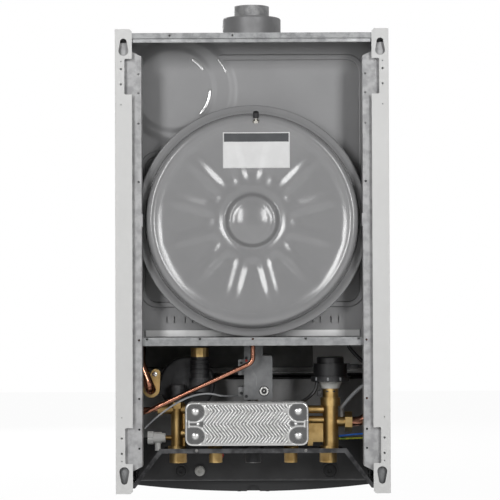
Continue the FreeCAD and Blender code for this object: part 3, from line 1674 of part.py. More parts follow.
def exchanger_cover():
    """End plate with pressed herringbone ridges in four bands and a bare pad at each port."""
    body = new_body("exchanger_cover_plate")
    outline = sketch_on(body, "XZ_Plane", "cover_outline", s.plate_rear)
    round_box(outline, (plate_right, plate_left), (plate_low, s.plate_top), s.plate_round)
    pad(body, outline, s.plate_cover, "cover_pad")
    margin = s.ridge_margin
    tray = sketch_on(body, "XZ_Plane", "cover_tray", s.plate_rear)
    inset = margin / 2
    round_box(tray, (plate_right + inset, plate_left - inset), (plate_low + inset, s.plate_top - inset),
              s.plate_round - inset)
    floor = s.plate_rear + s.plate_cover / 2
    pocket(body, tray, s.plate_cover / 2, "cover_tray_cut")
    levels = [s.plate_top - margin, port_high, plate_mid_z, port_low, plate_low + margin]
    root = s.ridge_rise + s.plate_cover / 4
    spread = root * math.tan(math.radians(s.ridge_flare.value)) + s.fit_gap
    axis = [feature for feature in body.Origin.OriginFeatures if feature.Role == "X_Axis"][0]
    for n, (high, low) in enumerate(zip(levels, levels[1:])):
        slant = (high - low) * s.ridge_slant / (s.port_pitch_z / 2)
        top_shift, low_shift = (0, slant) if n % 2 else (slant, 0)
        start = plate_right + margin
        ridge = sketch_on(body, "XZ_Plane", f"ridge_{n}", floor - s.ridge_rise)
        polygon(ridge, [
            (start + low_shift, low + spread),
            (start + low_shift + s.ridge_width, low + spread),
            (start + top_shift + s.ridge_width, high - spread),
            (start + top_shift, high - spread),
        ])
        ridge_pad = pad(body, ridge, root, f"ridge_pad_{n}")
        bind(ridge_pad, "TaperAngle", s.ridge_flare)
        doc.recompute()
        row = body.newObject("PartDesign::LinearPattern", f"ridge_row_{n}")
        row.Originals = [ridge_pad]
        row.Direction = (axis, [""])
        count = int((plate_left - plate_right - margin * 2 - slant).value // s.ridge_pitch.value)
        bind(row, "Length", s.ridge_pitch * (count - 1))
        row.Occurrences = count
        body.Tip = row
        doc.recompute()
    pads = sketch_on(body, "XZ_Plane", "port_pads", s.plate_rear - s.ridge_rise * 2)
    for x, z in port_places():
        circle(pads, x, z, s.port_pad)
    pocket(body, pads, floor - s.plate_rear + s.ridge_rise * 2, "port_pad_cut")
    bumps = sketch_on(body, "XZ_Plane", "port_bumps", floor - s.port_rise)
    for x, z in port_places():
        circle(bumps, x, z, s.port_bump)
    pad(body, bumps, s.port_rise + s.plate_cover / 4, "port_bump_pad")


collar_share = 1.2


def threaded_end(name, x, radius):
    """Thread below the bracket and the slimmer neck that passes through it."""
    shoulder = s.connector_end + s.thread_length
    thread = rod(f"{name}_thread", "z", (x, s.connector_depth), radius, (s.connector_end, shoulder))
    neck = rod(f"{name}_neck", "z", (x, s.connector_depth), radius - s.thread_relief,
               (shoulder, s.bracket_level + s.fit_gap))
    return join(f"{name}_end", thread, neck)


def collar_ring(name, x, radius):
    return rod(f"{name}_collar", "z", (x, s.connector_depth), radius,
               (s.bracket_level, s.bracket_level + s.collar_height))


def port_stub(name, x, z, far):
    return rod(f"{name}_stub", "depth", (x, z), s.port_stub, (s.plate_front, far))


def end_bore(name, x, radius):
    return rod(f"{name}_bore", "z", (x, s.connector_depth), radius,
               (s.connector_end - s.overrun, s.connector_end + s.bore_length))


def return_block():
    depth = s.connector_depth
    x = connector_outer
    cold_x = connector_pitch
    cap_share = 2.1
    plug_share = 2.3
    bypass_x = x - s.return_radius - s.bypass_radius / 2
    parts = [
        threaded_end("return", x, s.thread_large),
        collar_ring("return", x, s.collar_radius),
        rod("return_column", "z", (x, depth), s.return_radius, (s.bracket_level, s.return_top)),
        prism("return_cap", "z", (x, depth), s.return_radius * cap_share,
              (s.return_top - s.return_radius, s.return_top)),
        rod("return_bypass", "z", (bypass_x, depth), s.bypass_radius, (s.bracket_level, s.branch_top)),
        rod("return_branch", "x", (depth, s.branch_top), s.branch_radius, (port_left, branch_end)),
        prism("return_plug", "x", (depth, s.branch_top), s.branch_radius * plug_share,
              (branch_end - s.branch_radius, branch_end)),
        port_stub("return_high", port_left, port_high, depth),
        rod("cold_branch", "x", (depth, port_low), s.branch_radius, (cold_x, x)),
        port_stub("return_low", port_left, port_low, depth),
        threaded_end("cold", cold_x, s.thread_small),
        rod("cold_column", "z", (cold_x, depth), s.branch_radius, (s.bracket_level, port_low)),
        collar_ring("cold", cold_x, s.thread_small * collar_share),
        rod("tap_spigot_rod", "x", (depth, s.tap_level), s.tap_spigot, (x, tap_rear_end - s.tap_seal_width)),
    ]
    bores = [end_bore("return", x, s.bore_large), end_bore("cold", cold_x, s.bore_small)]
    node(cut("return_block", join("return_cast", *parts), *bores), "return_block")


def flow_block():
    depth = s.connector_depth
    x = flow_x
    outer_x = -connector_outer
    hot_x = -connector_pitch
    web_low = s.bracket_level + s.collar_height * 2
    lug_low = s.bracket_level + s.collar_height
    parts = [
        threaded_end("flow", outer_x, s.thread_large),
        collar_ring("flow", outer_x, s.collar_radius),
        rod("flow_column", "z", (x, depth), s.flow_radius, (s.bracket_level, s.flow_top)),
        rod("flow_ring", "z", (x, depth), s.flow_ring_radius, (s.flow_ring_low, s.flow_ring_high)),
        rod("flow_branch_one", "x", (depth, s.flow_branch_high), s.flow_branch, (x, port_right)),
        rod("flow_branch_two", "x", (depth, s.flow_branch_low), s.flow_branch, (x, port_right)),
        port_stub("flow_high", port_right, port_high, depth),
        port_stub("flow_low", port_right, port_low, depth),
        slab("flow_web", (x, port_right), (depth - s.flow_web, depth + s.flow_web),
             (web_low, s.flow_branch_low)),
        slab("flow_lug_block", (plate_right - s.flow_lug, plate_right),
             (depth - s.flow_branch, depth + s.flow_web), (lug_low, lug_low + s.flow_lug_height)),
        threaded_end("hot", hot_x, s.thread_small),
        rod("hot_column", "z", (hot_x, depth), s.branch_radius, (s.bracket_level, port_low)),
        rod("hot_branch", "x", (depth, port_low), s.branch_radius, (port_right, hot_x)),
        collar_ring("hot", hot_x, s.thread_small * collar_share),
        rod("flow_outlet", "x", (depth, s.flow_outlet_level), s.flow_outlet_radius, (flow_outlet_end, x)),
    ]
    bores = [
        end_bore("flow", outer_x, s.bore_large),
        end_bore("hot", hot_x, s.bore_small),
        rod("stem_passage", "z", (x, depth), s.stem_bore,
            (s.stem_low - s.stem_disc_height - s.overrun, s.flow_top + s.overrun)),
    ]
    node(cut("flow_block", join("flow_cast", *parts), *bores), "flow_block")


def diverter():
    axis = (flow_x, s.connector_depth)
    lift = s.stem_travel + s.fit_gap
    collar = taper("collar_cone", "z", axis, (s.collar_cone_low, s.collar_cone_high),
                   (s.collar_low, s.collar_high))
    guide = rod("collar_guide", "z", axis, s.stem_radius + s.running_gap,
                (s.collar_low - s.overrun, s.collar_high + s.overrun))
    node(cut("actuator_collar", collar, guide), "actuator_collar")
    base = rod("actuator_base", "z", axis, s.actuator_base_radius, (s.collar_high, s.actuator_base_high))
    drum = rod("actuator_drum", "z", axis, s.actuator_body_radius,
               (s.actuator_base_high, s.actuator_body_high))
    cap = rod("actuator_cap", "z", axis, s.actuator_cap_radius, (s.actuator_body_high, s.actuator_cap_high))
    cap = rounded("actuator_cap_round", cap, s.actuator_round,
                  lambda e: isinstance(e.Curve, Part.Circle)
                  and e.BoundBox.ZMin > s.actuator_cap_high.value - s.running_gap.value)
    socket = slab("actuator_socket", (flow_x - s.actuator_body_radius - s.socket_reach, flow_x),
                  (s.connector_depth - s.socket_half, s.connector_depth + s.socket_half),
                  (s.actuator_body_high - s.socket_height, s.actuator_body_high))
    stem_top = s.collar_high + s.overrun * 2
    recess = rod("actuator_recess_hole", "z", axis, s.actuator_recess,
                 (s.collar_high - s.overrun, stem_top + lift))
    blank = join("actuator_blank", base, drum, cap, socket)
    node(cut("diverter_actuator", blank, recess), "diverter_actuator")
    stem = rod("stem_rod", "z", axis, s.stem_radius, (s.stem_low, stem_top))
    disc = rod("stem_valve", "z", axis, s.stem_disc, (s.stem_low - s.stem_disc_height, s.stem_low))
    node(join("diverter_stem", stem, disc), "diverter_stem")


def flow_pipe_set():
    depth = s.connector_depth
    level = s.flow_outlet_level
    nut_end = flow_outlet_end - s.nut_length
    nut = prism("nut_hex", "x", (depth, level), s.nut_flats, (nut_end, flow_outlet_end))
    hole = rod("nut_hole", "x", (depth, level), s.flow_pipe_radius + s.running_gap,
               (nut_end - s.overrun, flow_outlet_end + s.overrun))
    node(cut("flow_pipe_nut", nut, hole), "flow_pipe_nut")
    tube("flow_pipe", [
        at(flow_outlet_end, depth, level),
        at(flow_pipe_x, depth, level),
        at(flow_pipe_x, depth, header_level),
        at(flow_pipe_x + s.flow_pipe_bend, depth, header_level),
    ], s.flow_pipe_radius, s.flow_pipe_bend * bend_share)


def return_pipe_set():
    depth = s.connector_depth
    knee_share = 1.7
    bend_radius_share = 0.75
    tube("return_pipe", [
        at(inlet_x, s.connector_depth, s.inlet_level),
        at(inlet_x, s.return_pipe_rear, s.inlet_level),
        at(return_pipe_x, s.return_pipe_rear, s.inlet_level + s.flange_span * knee_share),
        at(return_pipe_x, depth, s.gas_block_top - s.overrun),
        at(return_pipe_x, depth, header_level),
        at(return_pipe_x - s.return_pipe_bend, depth, header_level),
    ], s.return_pipe_radius, s.return_pipe_bend * bend_radius_share)
    body = new_body("return_pipe_flange")
    outline = sketch_on(body, "XZ_Plane", "flange_outline")
    pear(outline, 0, s.flange_span, s.flange_small, s.inlet_radius, s.flange_span, -1)
    pad(body, outline, s.flange_sheet, "flange_pad")
    eye = sketch_on(body, "XZ_Plane", "flange_eye")
    circle(eye, 0, 0, s.return_pipe_radius + s.running_gap)
    pocket(body, eye, s.flange_sheet + s.overrun, "flange_eye_cut")
    body.Placement.Rotation = FreeCAD.Rotation(FreeCAD.Vector(0, 1, 0), -s.flange_turn.value)
    bind(body, "Placement.Base.x", inlet_x)
    bind(body, "Placement.Base.y", s.flange_sheet - depth)
    bind(body, "Placement.Base.z", s.inlet_level)


def pump():
    centre = (pump_x, s.pump_level)
    depth = s.connector_depth
    volute = rod("volute_drum", "depth", centre, s.pump_radius, (pump_rear, pump_front))
    volute = rounded("volute_round", volute, s.pump_wall / 2,
                     lambda e: ring_near(e, s.pump_radius, pump_rear))
    dome = rod("volute_dome", "depth", centre, s.pump_dome, (pump_rear - s.pump_dome_rise, pump_rear))
    inlet = rod("volute_inlet", "depth", (inlet_x, s.inlet_level), s.inlet_radius, (depth, pump_front))
    arm = slab("volute_arm", (pump_x, inlet_x), (pump_rear, pump_front),
               (s.inlet_level - s.pump_arm, s.inlet_level + s.pump_arm))
    outlet_x = connector_outer
    outlet = rod("volute_outlet", "z", (outlet_x, depth + s.pump_arm), s.pump_arm,
                 (s.return_top, s.pump_level))
    outlet_arm = slab("volute_outlet_arm", (outlet_x - s.pump_arm, outlet_x + s.pump_arm),
                      (depth + s.pump_arm, pump_front), (s.pump_level - s.pump_arm * 2, s.pump_level))
    foot = s.pump_level - s.pump_arm
    separator_share = 1.15
    separator = rod("volute_separator", "z", (vent_x, s.vent_depth), s.vent_radius * separator_share,
                    (foot, s.vent_low))
    neck = slab("volute_neck", (vent_x - s.pump_arm, vent_x + s.pump_arm),
                (s.vent_depth, pump_rear + s.overrun), (foot, s.vent_low - s.fit_gap))
    cavity = rod("volute_cavity", "depth", centre, s.pump_radius - s.pump_wall,
                 (pump_front - s.pump_wheel_width * 2, pump_front + s.overrun))
    blank = join("volute_blank", volute, dome, inlet, arm, outlet, outlet_arm, separator, neck)
    node(cut("pump_volute", blank, cavity), "pump_volute")
    can = rod("motor_can", "depth", centre, s.motor_radius, (pump_front, motor_front))
    can = rounded("motor_can_round", can, s.motor_band, lambda e: ring_near(e, s.motor_radius, motor_front))
    band = rod("motor_flange", "depth", centre, s.motor_radius + s.motor_band_rise,
               (pump_front, pump_front + s.motor_band))
    bore = rod("motor_bore", "depth", centre, s.wheel_shaft + s.running_gap,
               (pump_front - s.overrun, wheel_shaft_end + s.fit_gap))
    node(cut("pump_motor", join("motor_blank", can, band), bore), "pump_motor")
    wheel_front = pump_front - s.pump_wheel_width / 3
    wheel_rear = wheel_front - s.pump_wheel_width
    wheel = rod("pump_wheel", "depth", centre, s.pump_wheel_radius, (wheel_rear, wheel_front))
    eye = rod("pump_wheel_eye", "depth", centre, s.pump_wheel_radius / 2,
              (wheel_rear - s.overrun, wheel_front - s.pump_wheel_width / 3))
    shaft = rod("pump_shaft", "depth", centre, s.wheel_shaft, (wheel_rear, wheel_shaft_end))
    node(join("pump_impeller", cut("pump_wheel_open", wheel, eye), shaft), "pump_impeller")


def air_vent():
    axis = (vent_x, s.vent_depth)
    barrel = rod("vent_barrel", "z", axis, s.vent_radius, (s.vent_low, s.vent_high))
    grooves = []
    groove_shares = (0.36, 0.6, 0.84)
    for n, share in enumerate(groove_shares):
        level = s.vent_low + (s.vent_high - s.vent_low) * share
        outer = rod(f"vent_groove_{n}", "z", axis, s.vent_radius + s.overrun,
                    (level, level + s.vent_groove * 2))
        core = rod(f"vent_core_{n}", "z", axis, s.vent_radius - s.vent_groove,
                   (level - s.overrun, level + s.overrun + s.vent_groove * 2))
        grooves.append(cut(f"vent_ring_{n}", outer, core))
    node(cut("air_vent_body", barrel, *grooves), "air_vent_body")
    cap = prism("vent_cap_prism", "z", axis, s.vent_cap_radius * 2, (s.vent_high, s.vent_cap_high), 16)
    dip_share = 0.6
    dip = rod("vent_cap_dip", "z", axis, s.vent_cap_radius * dip_share,
              (s.vent_cap_high - s.vent_groove, s.vent_cap_high + s.overrun))
    node(cut("air_vent_cap", cap, dip), "air_vent_cap")


def filling_tap():
    depth = s.connector_depth
    level = s.tap_level
    seal_start = tap_rear_end - s.tap_seal_width
    seal = rod("tap_seal_ring", "x", (depth, level), s.tap_seal, (seal_start, tap_rear_end))
    barrel = rod("tap_barrel", "x", (depth, level), s.tap_radius, (tap_rear_end, tap_front_end))
    spout_x = (tap_rear_end + tap_front_end) / 2
    spout = rod("tap_spout", "z", (spout_x, depth), s.tap_outlet, (s.tap_outlet_low, level))
    mouth_share = 0.6
    mouth = rod("tap_mouth", "z", (spout_x, depth), s.tap_outlet * mouth_share,
                (s.tap_outlet_low - s.overrun, level - s.tap_radius))
    bore = rod("tap_bore", "x", (depth, level), s.tap_shaft + s.running_gap,
               (tap_front_end - s.tap_shaft_length - s.fit_gap, tap_front_end + s.overrun))
    node(cut("filling_tap_body", join("tap_blank", seal, barrel, spout), mouth, bore), "filling_tap_body")
    start = tap_front_end + s.fit_gap
    grip = rod("tap_grip", "x", (depth, level), s.tap_knob_radius, (start, start + s.tap_knob_length))
    shaft = rod("tap_knob_shaft", "x", (depth, level), s.tap_shaft,
                (tap_front_end - s.tap_shaft_length, start))
    flutes = []
    total = int(s.tap_flutes.value)
    for n in range(total):
        turn = 2 * math.pi * n / total
        middle = (depth + s.tap_knob_radius * math.cos(turn), level + s.tap_knob_radius * math.sin(turn))
        flutes.append(rod(f"tap_flute_{n}", "x", middle, s.tap_flute_radius,
                          (start - s.overrun, start + s.tap_knob_length + s.overrun)))
    fluted = cut("tap_fluted", grip, group("tap_flute_set", *flutes))
    node(join("filling_tap_knob", fluted, shaft), "filling_tap_knob")


def safety_valve():
    axis = (s.relief_x, s.relief_level)
    start = s.relief_rear
    end = start + s.relief_length
    barrel = rod("relief_barrel", "depth", axis, s.relief_radius, (start, end))
    hexagon_share = 2.2
    hexagon = prism("relief_hexagon", "depth", axis, s.relief_radius * hexagon_share,
                    (start, start + s.relief_length / 3))
    bore = rod("relief_bore", "depth", axis, s.relief_shaft + s.running_gap,
               (end - s.relief_shaft_length - s.fit_gap, end + s.overrun))
    boss = rod("relief_boss_rod", "z", (s.relief_x, start + s.relief_length / 2), s.relief_boss,
               (s.relief_level, bracket_under))
    node(cut("safety_valve", join("relief_blank", barrel, hexagon, boss), bore), "safety_valve")
    face = end + s.fit_gap
    grip = prism("relief_grip", "depth", axis, s.relief_knob_radius * 2,
                 (face, face + s.relief_knob_length), 8)
    shaft = rod("relief_stem", "depth", axis, s.relief_shaft, (end - s.relief_shaft_length, face))
    node(join("safety_valve_knob", grip, shaft), "safety_valve_knob")


# gas side

def gas_valve():
    block = slab("gas_block", (s.gas_left, s.gas_right), (s.gas_rear, s.gas_front), (s.gas_bottom, s.gas_top))
    block = rounded("gas_block_round", block, s.gas_round, lambda e: runs_along(e, (0, 1, 0)))
    parts = [block]
    for n, (high, low) in enumerate(((s.gas_lug_high, s.gas_lug_middle + s.gas_lug),
                                     (s.gas_lug_middle - s.gas_lug, s.gas_lug_low))):
        parts.append(slab(f"gas_lug_{n}", (s.gas_right - s.overrun, s.gas_right + s.gas_lug),
                          (s.gas_lug_rear, s.gas_lug_front), (low, high)))
    parts.append(slab("gas_neck", (s.gas_block_left, s.gas_right),
                      (rail_depth - s.rail_radius, s.gas_block_front),
                      (s.gas_top - s.overrun, s.gas_block_top)))
    coil_level = s.gas_top - s.gas_coil_drop
    coil_x = (s.gas_left + s.gas_right) / 2
    parts.append(rod("gas_coil", "depth", (coil_x, coil_level), s.gas_coil_radius,
                     (s.gas_front - s.overrun, s.gas_coil_front)))
    plug_face = s.gas_rear - s.gas_plug_rise
    parts.append(rod("gas_plug", "depth", (s.gas_plug_x, s.gas_plug_level), s.gas_plug_radius,
                     (plug_face, s.gas_rear + s.overrun)))
    arrow_x = (s.gas_left + s.gas_right) / 2 + s.gas_round
    arrow_low = s.gas_plug_level + s.gas_plug_radius
    parts.append(slab("gas_arrow", (arrow_x - s.gas_arrow_width / 2, arrow_x + s.gas_arrow_width / 2),
                      (s.gas_rear - s.gas_arrow_rise, s.gas_rear + s.overrun),
                      (arrow_low, arrow_low + s.gas_arrow_height)))
    socket = prism("gas_plug_socket_hex", "depth", (s.gas_plug_x, s.gas_plug_level), s.gas_plug_socket * 2,
                   (plug_face - s.overrun, s.gas_rear + s.gas_plug_rise))
    node(cut("gas_valve", join("gas_cast", *parts), socket), "gas_valve")


def gas_pipes():
    axis = (0, s.connector_depth)
    thread = threaded_end("gas", 0, s.thread_large)
    nut = prism("gas_nut", "z", axis, s.collar_radius * 2,
                (s.bracket_level, s.bracket_level + s.collar_height))
    pipe = rod("gas_riser", "z", axis, s.gas_pipe_radius, (s.bracket_level, s.gas_bottom))
    bore = end_bore("gas", 0, s.bore_small)
    node(cut("gas_inlet_pipe", join("gas_inlet_blank", thread, nut, pipe), bore), "gas_inlet_pipe")
    feed = rod("gas_feed_rod", "z", (s.feed_x, rail_depth), s.rail_radius, (s.gas_block_top, rail_level))
    node(cut("gas_burner_pipe", feed, nodes_by_label("burner_manifold")), "gas_burner_pipe")


# controls

def fascia_outline(sketch, inset):
    """Front outline: straight top and ends, and a lower edge that sags in one arc."""
    side = half - s.fascia_gap - inset
    top = s.fascia_top - inset
    end = s.fascia_end + inset
    low = s.fascia_low + inset
    corners = [(-side, end), (-side, top), (side, top), (side, end)]
    for start, finish in zip(corners, corners[1:]):
        sketch.addGeometry(Part.LineSegment(vector2(*start), vector2(*finish)))
    arc = sketch.addGeometry(Part.Arc(vector2(*corners[0]), vector2(0, low), vector2(*corners[3])))
    for n in range(2):
        sketch.addConstraint(Sketcher.Constraint("Coincident", n, 2, n + 1, 1))
    sketch.addConstraint(Sketcher.Constraint("Coincident", arc, 1, 0, 1))
    sketch.addConstraint(Sketcher.Constraint("Coincident", arc, 2, 2, 2))
    for n, corner in enumerate(corners[:3]):
        pin_point(sketch, n, 1, *corner)
    pin_point(sketch, 2, 2, *corners[3])
    sag = end - low
    hold(sketch, "Radius", arc, (side * side + sag * sag) / (2 * sag))


def control_fascia():
    body = new_body("control_fascia")
    outline = sketch_on(body, "XZ_Plane", "fascia_front", fascia_rear)
    fascia_outline(outline, as_size(0))
    pad(body, outline, s.case_depth - fascia_rear, "fascia_pad")
    body_fillet(body, s.fascia_corner, lambda e: runs_along(e, (0, 1, 0)), "fascia_corner_round")
    body_fillet(body, s.fascia_round, lambda e: e.BoundBox.YMax < -(s.case_depth.value - s.running_gap.value),
                "fascia_front_round")
    hollow = sketch_on(body, "XZ_Plane", "fascia_hollow", fascia_rear - s.overrun)
    wall = s.fascia_wall
    side = half - s.fascia_gap - wall
    polygon(hollow, [(-side, s.fascia_sill), (side, s.fascia_sill), (side, s.fascia_top - wall),
                     (-side, s.fascia_top - wall)])
    pocket(body, hollow, s.case_depth - fascia_rear + s.overrun - wall, "fascia_hollow_cut")
    cups = sketch_on(body, "XZ_Plane", "knob_cups", s.case_depth - s.knob_cup_depth - s.knob_cup_wall)
    eyes = sketch_on(body, "XZ_Plane", "knob_eyes", s.case_depth - s.knob_cup_depth)
    shafts = sketch_on(body, "XZ_Plane", "knob_shafts", fascia_rear)
    for x in (s.hot_knob_x, s.heat_knob_x):
        circle(cups, x, s.dial_level, s.knob_cup_radius + s.knob_cup_wall)
        circle(eyes, x, s.dial_level, s.knob_cup_radius)
        circle(shafts, x, s.dial_level, s.dial_shaft + s.running_gap)
    circle(shafts, s.gauge_x, s.dial_level, s.gauge_radius + s.running_gap)
    pad(body, cups, s.knob_cup_depth + s.knob_cup_wall - wall / 2, "knob_cup_pad")
    pocket(body, eyes, s.knob_cup_depth + s.overrun, "knob_eye_cut")
    pocket(body, shafts, s.case_depth - fascia_rear + s.overrun, "knob_shaft_cut")
    finger = sketch_on(body, "XZ_Plane", "finger_arch", fascia_rear - s.overrun)
    circle(finger, 0, s.fascia_low, s.finger_radius)
    pocket(body, finger, s.finger_depth + s.overrun, "finger_cut")
    feet = sketch_on(body, "XY_Plane", "rest_feet", s.fascia_low - s.foot_drop)
    for way in (-1, 1):
        circle(feet, way * s.foot_x, -(fascia_rear + s.case_depth) / 2, s.foot_radius)
    pad(body, feet, s.foot_drop * 2, "rest_foot_pad")


def control_box():
    wall = s.box_wall
    front = s.case_depth - s.fascia_wall
    shell = slab("box_block", (-box_half, box_half), (box_rear, front), (s.box_bottom, s.box_top))
    shell = rounded("box_block_round", shell, s.fascia_round,
                    lambda e: runs_along(e, (1, 0, 0))
                    and e.BoundBox.YMax > -box_rear.value - s.running_gap.value)
    hollow = slab("box_hollow", (wall - box_half, box_half - wall), (box_rear + wall, front + s.overrun),
                  (s.box_bottom + wall, s.box_top - wall))
    pin_share = 2.4
    pin_end = box_half + s.ear_thickness * pin_share
    pins = [
        rod(f"box_pin_{name}", "x", (pivot_depth, s.pivot_level), s.pivot_radius, span)
        for name, span in (("right", (box_half - wall, pin_end)), ("left", (-pin_end, wall - box_half)))
    ]
    rims = []
    for name, x, radius in (("one", s.gland_left, s.gland_small), ("two", s.gland_middle, s.gland_small),
                            ("three", s.gland_right, s.gland_large)):
        outer = rod(f"gland_{name}", "depth", (x, s.gland_level), radius,
                    (box_rear - s.gland_rise, box_rear + wall))
        inner = rod(f"gland_eye_{name}", "depth", (x, s.gland_level), radius - s.gland_wall,
                    (box_rear - s.gland_rise - s.overrun, box_rear))
        rims.append(cut(f"gland_rim_{name}", outer, inner))
    node(join("control_box", cut("box_shell", shell, hollow), *pins, *rims), "control_box")


def dial_knob(label, x):
    """Round temperature knob with a bar grip, on a shaft through the fascia."""
    axis = (x, s.dial_level)
    start = s.case_depth - s.knob_cup_depth + s.fit_gap
    end = start + s.dial_length
    skirt = rod(f"{label}_skirt", "depth", axis, s.dial_radius, (start, end - s.dial_grip_rise))
    bar = slab(f"{label}_bar", (as_size(x) - s.dial_grip / 2, as_size(x) + s.dial_grip / 2), (start, end),
               (s.dial_level - s.dial_radius, s.dial_level + s.dial_radius))
    trim = rod(f"{label}_trim", "depth", axis, s.dial_radius, (start, end))
    grip = overlap(f"{label}_grip", bar, trim)
    shaft = rod(f"{label}_shaft", "depth", axis, s.dial_shaft,
                (start - s.dial_shaft_length, start + s.dial_grip))
    node(join(label, skirt, grip, shaft), label)


def gauge():
    axis = (s.gauge_x, s.dial_level)
    face = s.case_depth
    drum = rod("gauge_drum", "depth", axis, s.gauge_radius, (face - s.gauge_length, face))
    dish = rod("gauge_dish", "depth", axis, s.gauge_radius - s.gauge_bezel,
               (face - s.gauge_recess, face + s.overrun))
    pivot = rod("gauge_pivot", "depth", axis, s.needle_pin + s.running_gap,
                (face - s.gauge_recess * 2, face - s.gauge_recess + s.overrun))
    node(cut("pressure_gauge", drum, dish, pivot), "pressure_gauge")
    start = face - s.gauge_recess + s.fit_gap
    hand = slab("needle_hand", (s.gauge_x - s.needle_width / 2, s.gauge_x + s.needle_width / 2),
                (start, start + s.needle_sheet),
                (s.dial_level - s.needle_length / 4, s.dial_level + s.needle_length))
    hub_share = 1.2
    pin_share = 1.8
    hub = rod("needle_hub", "depth", axis, s.needle_width * hub_share, (start, start + s.needle_sheet * 2))
    pin = rod("needle_pin_rod", "depth", axis, s.needle_pin,
              (face - s.gauge_recess * pin_share, start + s.needle_sheet))
    node(join("gauge_needle", hand, hub, pin), "gauge_needle")


def circuit_board():
    rear = box_rear + s.box_wall
    face = rear + s.board_stand
    middle = (s.box_top + s.box_bottom) / 2
    low = middle - s.board_height / 2
    high = middle + s.board_height / 2
    parts = [slab("board_sheet_slab", (-board_half, board_half), (face, face + s.board_sheet), (low, high))]
    stand_shares = [(0.9, 0.4), (-0.9, 0.4), (0.9, -0.4), (-0.9, -0.4)]
    for n, (x, z) in enumerate(stand_shares):
        parts.append(rod(f"board_stand_{n}", "depth", (board_half * x, middle + s.board_height * z),
                         s.board_stand_radius, (rear, face)))
    front = face + s.board_sheet
    relay_shares = [
        (-0.62, -0.1, 0.2),
        (-0.38, -0.1, 0.2),
        (-0.14, -0.1, 0.2),
        (0.3, 0.1, 0.34),
        (0.68, -0.12, 0.24),
    ]
    for n, (x, z, size) in enumerate(relay_shares):
        across = board_half * x
        level = middle + s.board_height * z
        reach = s.board_height * size / 2
        parts.append(slab(f"board_block_{n}", (across - reach, across + reach), (front, front + reach),
                          (level - reach, level + reach)))
    node(join("circuit_board", *parts), "circuit_board")


def lead(name, points, radius, bend):
    item = doc.addObject("Part::Feature", name)
    item.Shape = tube_shape(points, radius, bend)
    return item


def wiring_loom():
    """Leads, a plug and small tubes that run between fixed pieces of the lower compartment."""
    depth = s.connector_depth
    panel_x = s.panel_sheet - inside
    front = s.nipple_depth - s.vessel_pipe_radius - s.hose_radius * 2
    sensor = lead("sensor_lead", [
        at(post_inner, front, s.branch_top - s.flange_span),
        at(branch_end, front, s.branch_top - s.branch_radius),
        at(plate_left, front, s.plate_top + s.branch_radius),
        at(vent_x - s.vent_radius, front, s.plate_top + s.branch_radius * 2),
        at(s.relief_x - s.vent_radius, front + s.overrun, s.plate_top + s.branch_radius),
        at(s.gas_right + s.gas_lug + s.lead_radius, s.gas_lug_rear + s.overrun,
           s.plate_top + s.branch_radius),
    ], s.lead_radius, s.lead_bend)
    mains_depth = depth + s.vent_radius
    mains_x = -post_inner + s.vent_radius + s.hose_radius * 2
    mains = lead("mains_lead", [
        at(mains_x, mains_depth, shelf_under - s.fit_gap),
        at(mains_x, mains_depth, s.gas_block_top),
        at(-return_pipe_x, mains_depth, s.gas_top - s.vent_radius),
        at(-chamber_half, mains_depth, s.gas_top - s.vent_radius * 2),
        at(panel_x, mains_depth, s.gas_top - s.vent_radius * 2 - s.hose_radius),
    ], s.hose_radius, s.lead_bend / 2)
    drain_depth = depth - s.flow_pipe_radius * 2
    drain_x = flow_outlet_end + s.overrun
    drain = lead("drain_tube", [
        at(panel_x, drain_depth, s.flow_top + s.flow_radius),
        at(-return_pipe_x, drain_depth, s.flow_top + s.flow_radius),
        at(drain_x, drain_depth, s.flow_ring_low),
        at(drain_x, depth, s.flow_branch_high),
        at(drain_x, depth, s.flow_outlet_level + s.flow_outlet_radius),
    ], s.hose_radius, s.lead_bend / 2)
    hose_depth = depth - s.stem_travel * 2
    hose_x = flow_x + s.collar_cone_high + s.hose_radius
    hose = lead("actuator_hose", [
        at(hose_x, hose_depth, s.collar_high - s.fit_gap),
        at(hose_x, hose_depth, s.flow_top),
        at(hose_x + s.flow_radius, hose_depth - s.hose_radius, s.flow_ring_high),
        at(plate_right + s.flow_lug, hose_depth - s.flow_radius, s.plate_top - s.hose_radius / 2),
    ], s.hose_radius, s.lead_bend / 2)
    plug_end = flow_x - s.actuator_body_radius - s.socket_reach - s.fit_gap
    plug_start = plug_end - s.plug_length
    plug_low = s.actuator_body_high - s.socket_height + s.panel_sheet
    plug_high = s.actuator_body_high - s.panel_sheet
    plug = slab("actuator_plug", (plug_start, plug_end), (depth - s.plug_half, depth + s.plug_half),
                (plug_low, plug_high))
    plug_level = (plug_low + plug_high) / 2
    tail = lead("plug_lead", [
        at(plug_start, depth, plug_level),
        at(-return_pipe_x, drain_depth, plug_level),
        at(panel_x, drain_depth, plug_level + s.socket_height),
    ], s.lead_radius * 2, s.lead_bend / 2)
    leads = []
    for name, level, drop in (("blue", s.blue_level, s.plug_half), ("earth", s.earth_level, s.lead_radius)):
        leads.append(lead(f"{name}_lead", [
            at(panel_x, depth, level),
            at(-post_inner, depth, level),
            at(flow_x - s.flow_radius - s.fit_gap, depth, level - drop),
        ], s.lead_radius, s.lead_bend))
    node(group("wiring_loom", sensor, mains, drain, hose, plug, tail, *leads), "wiring_loom")


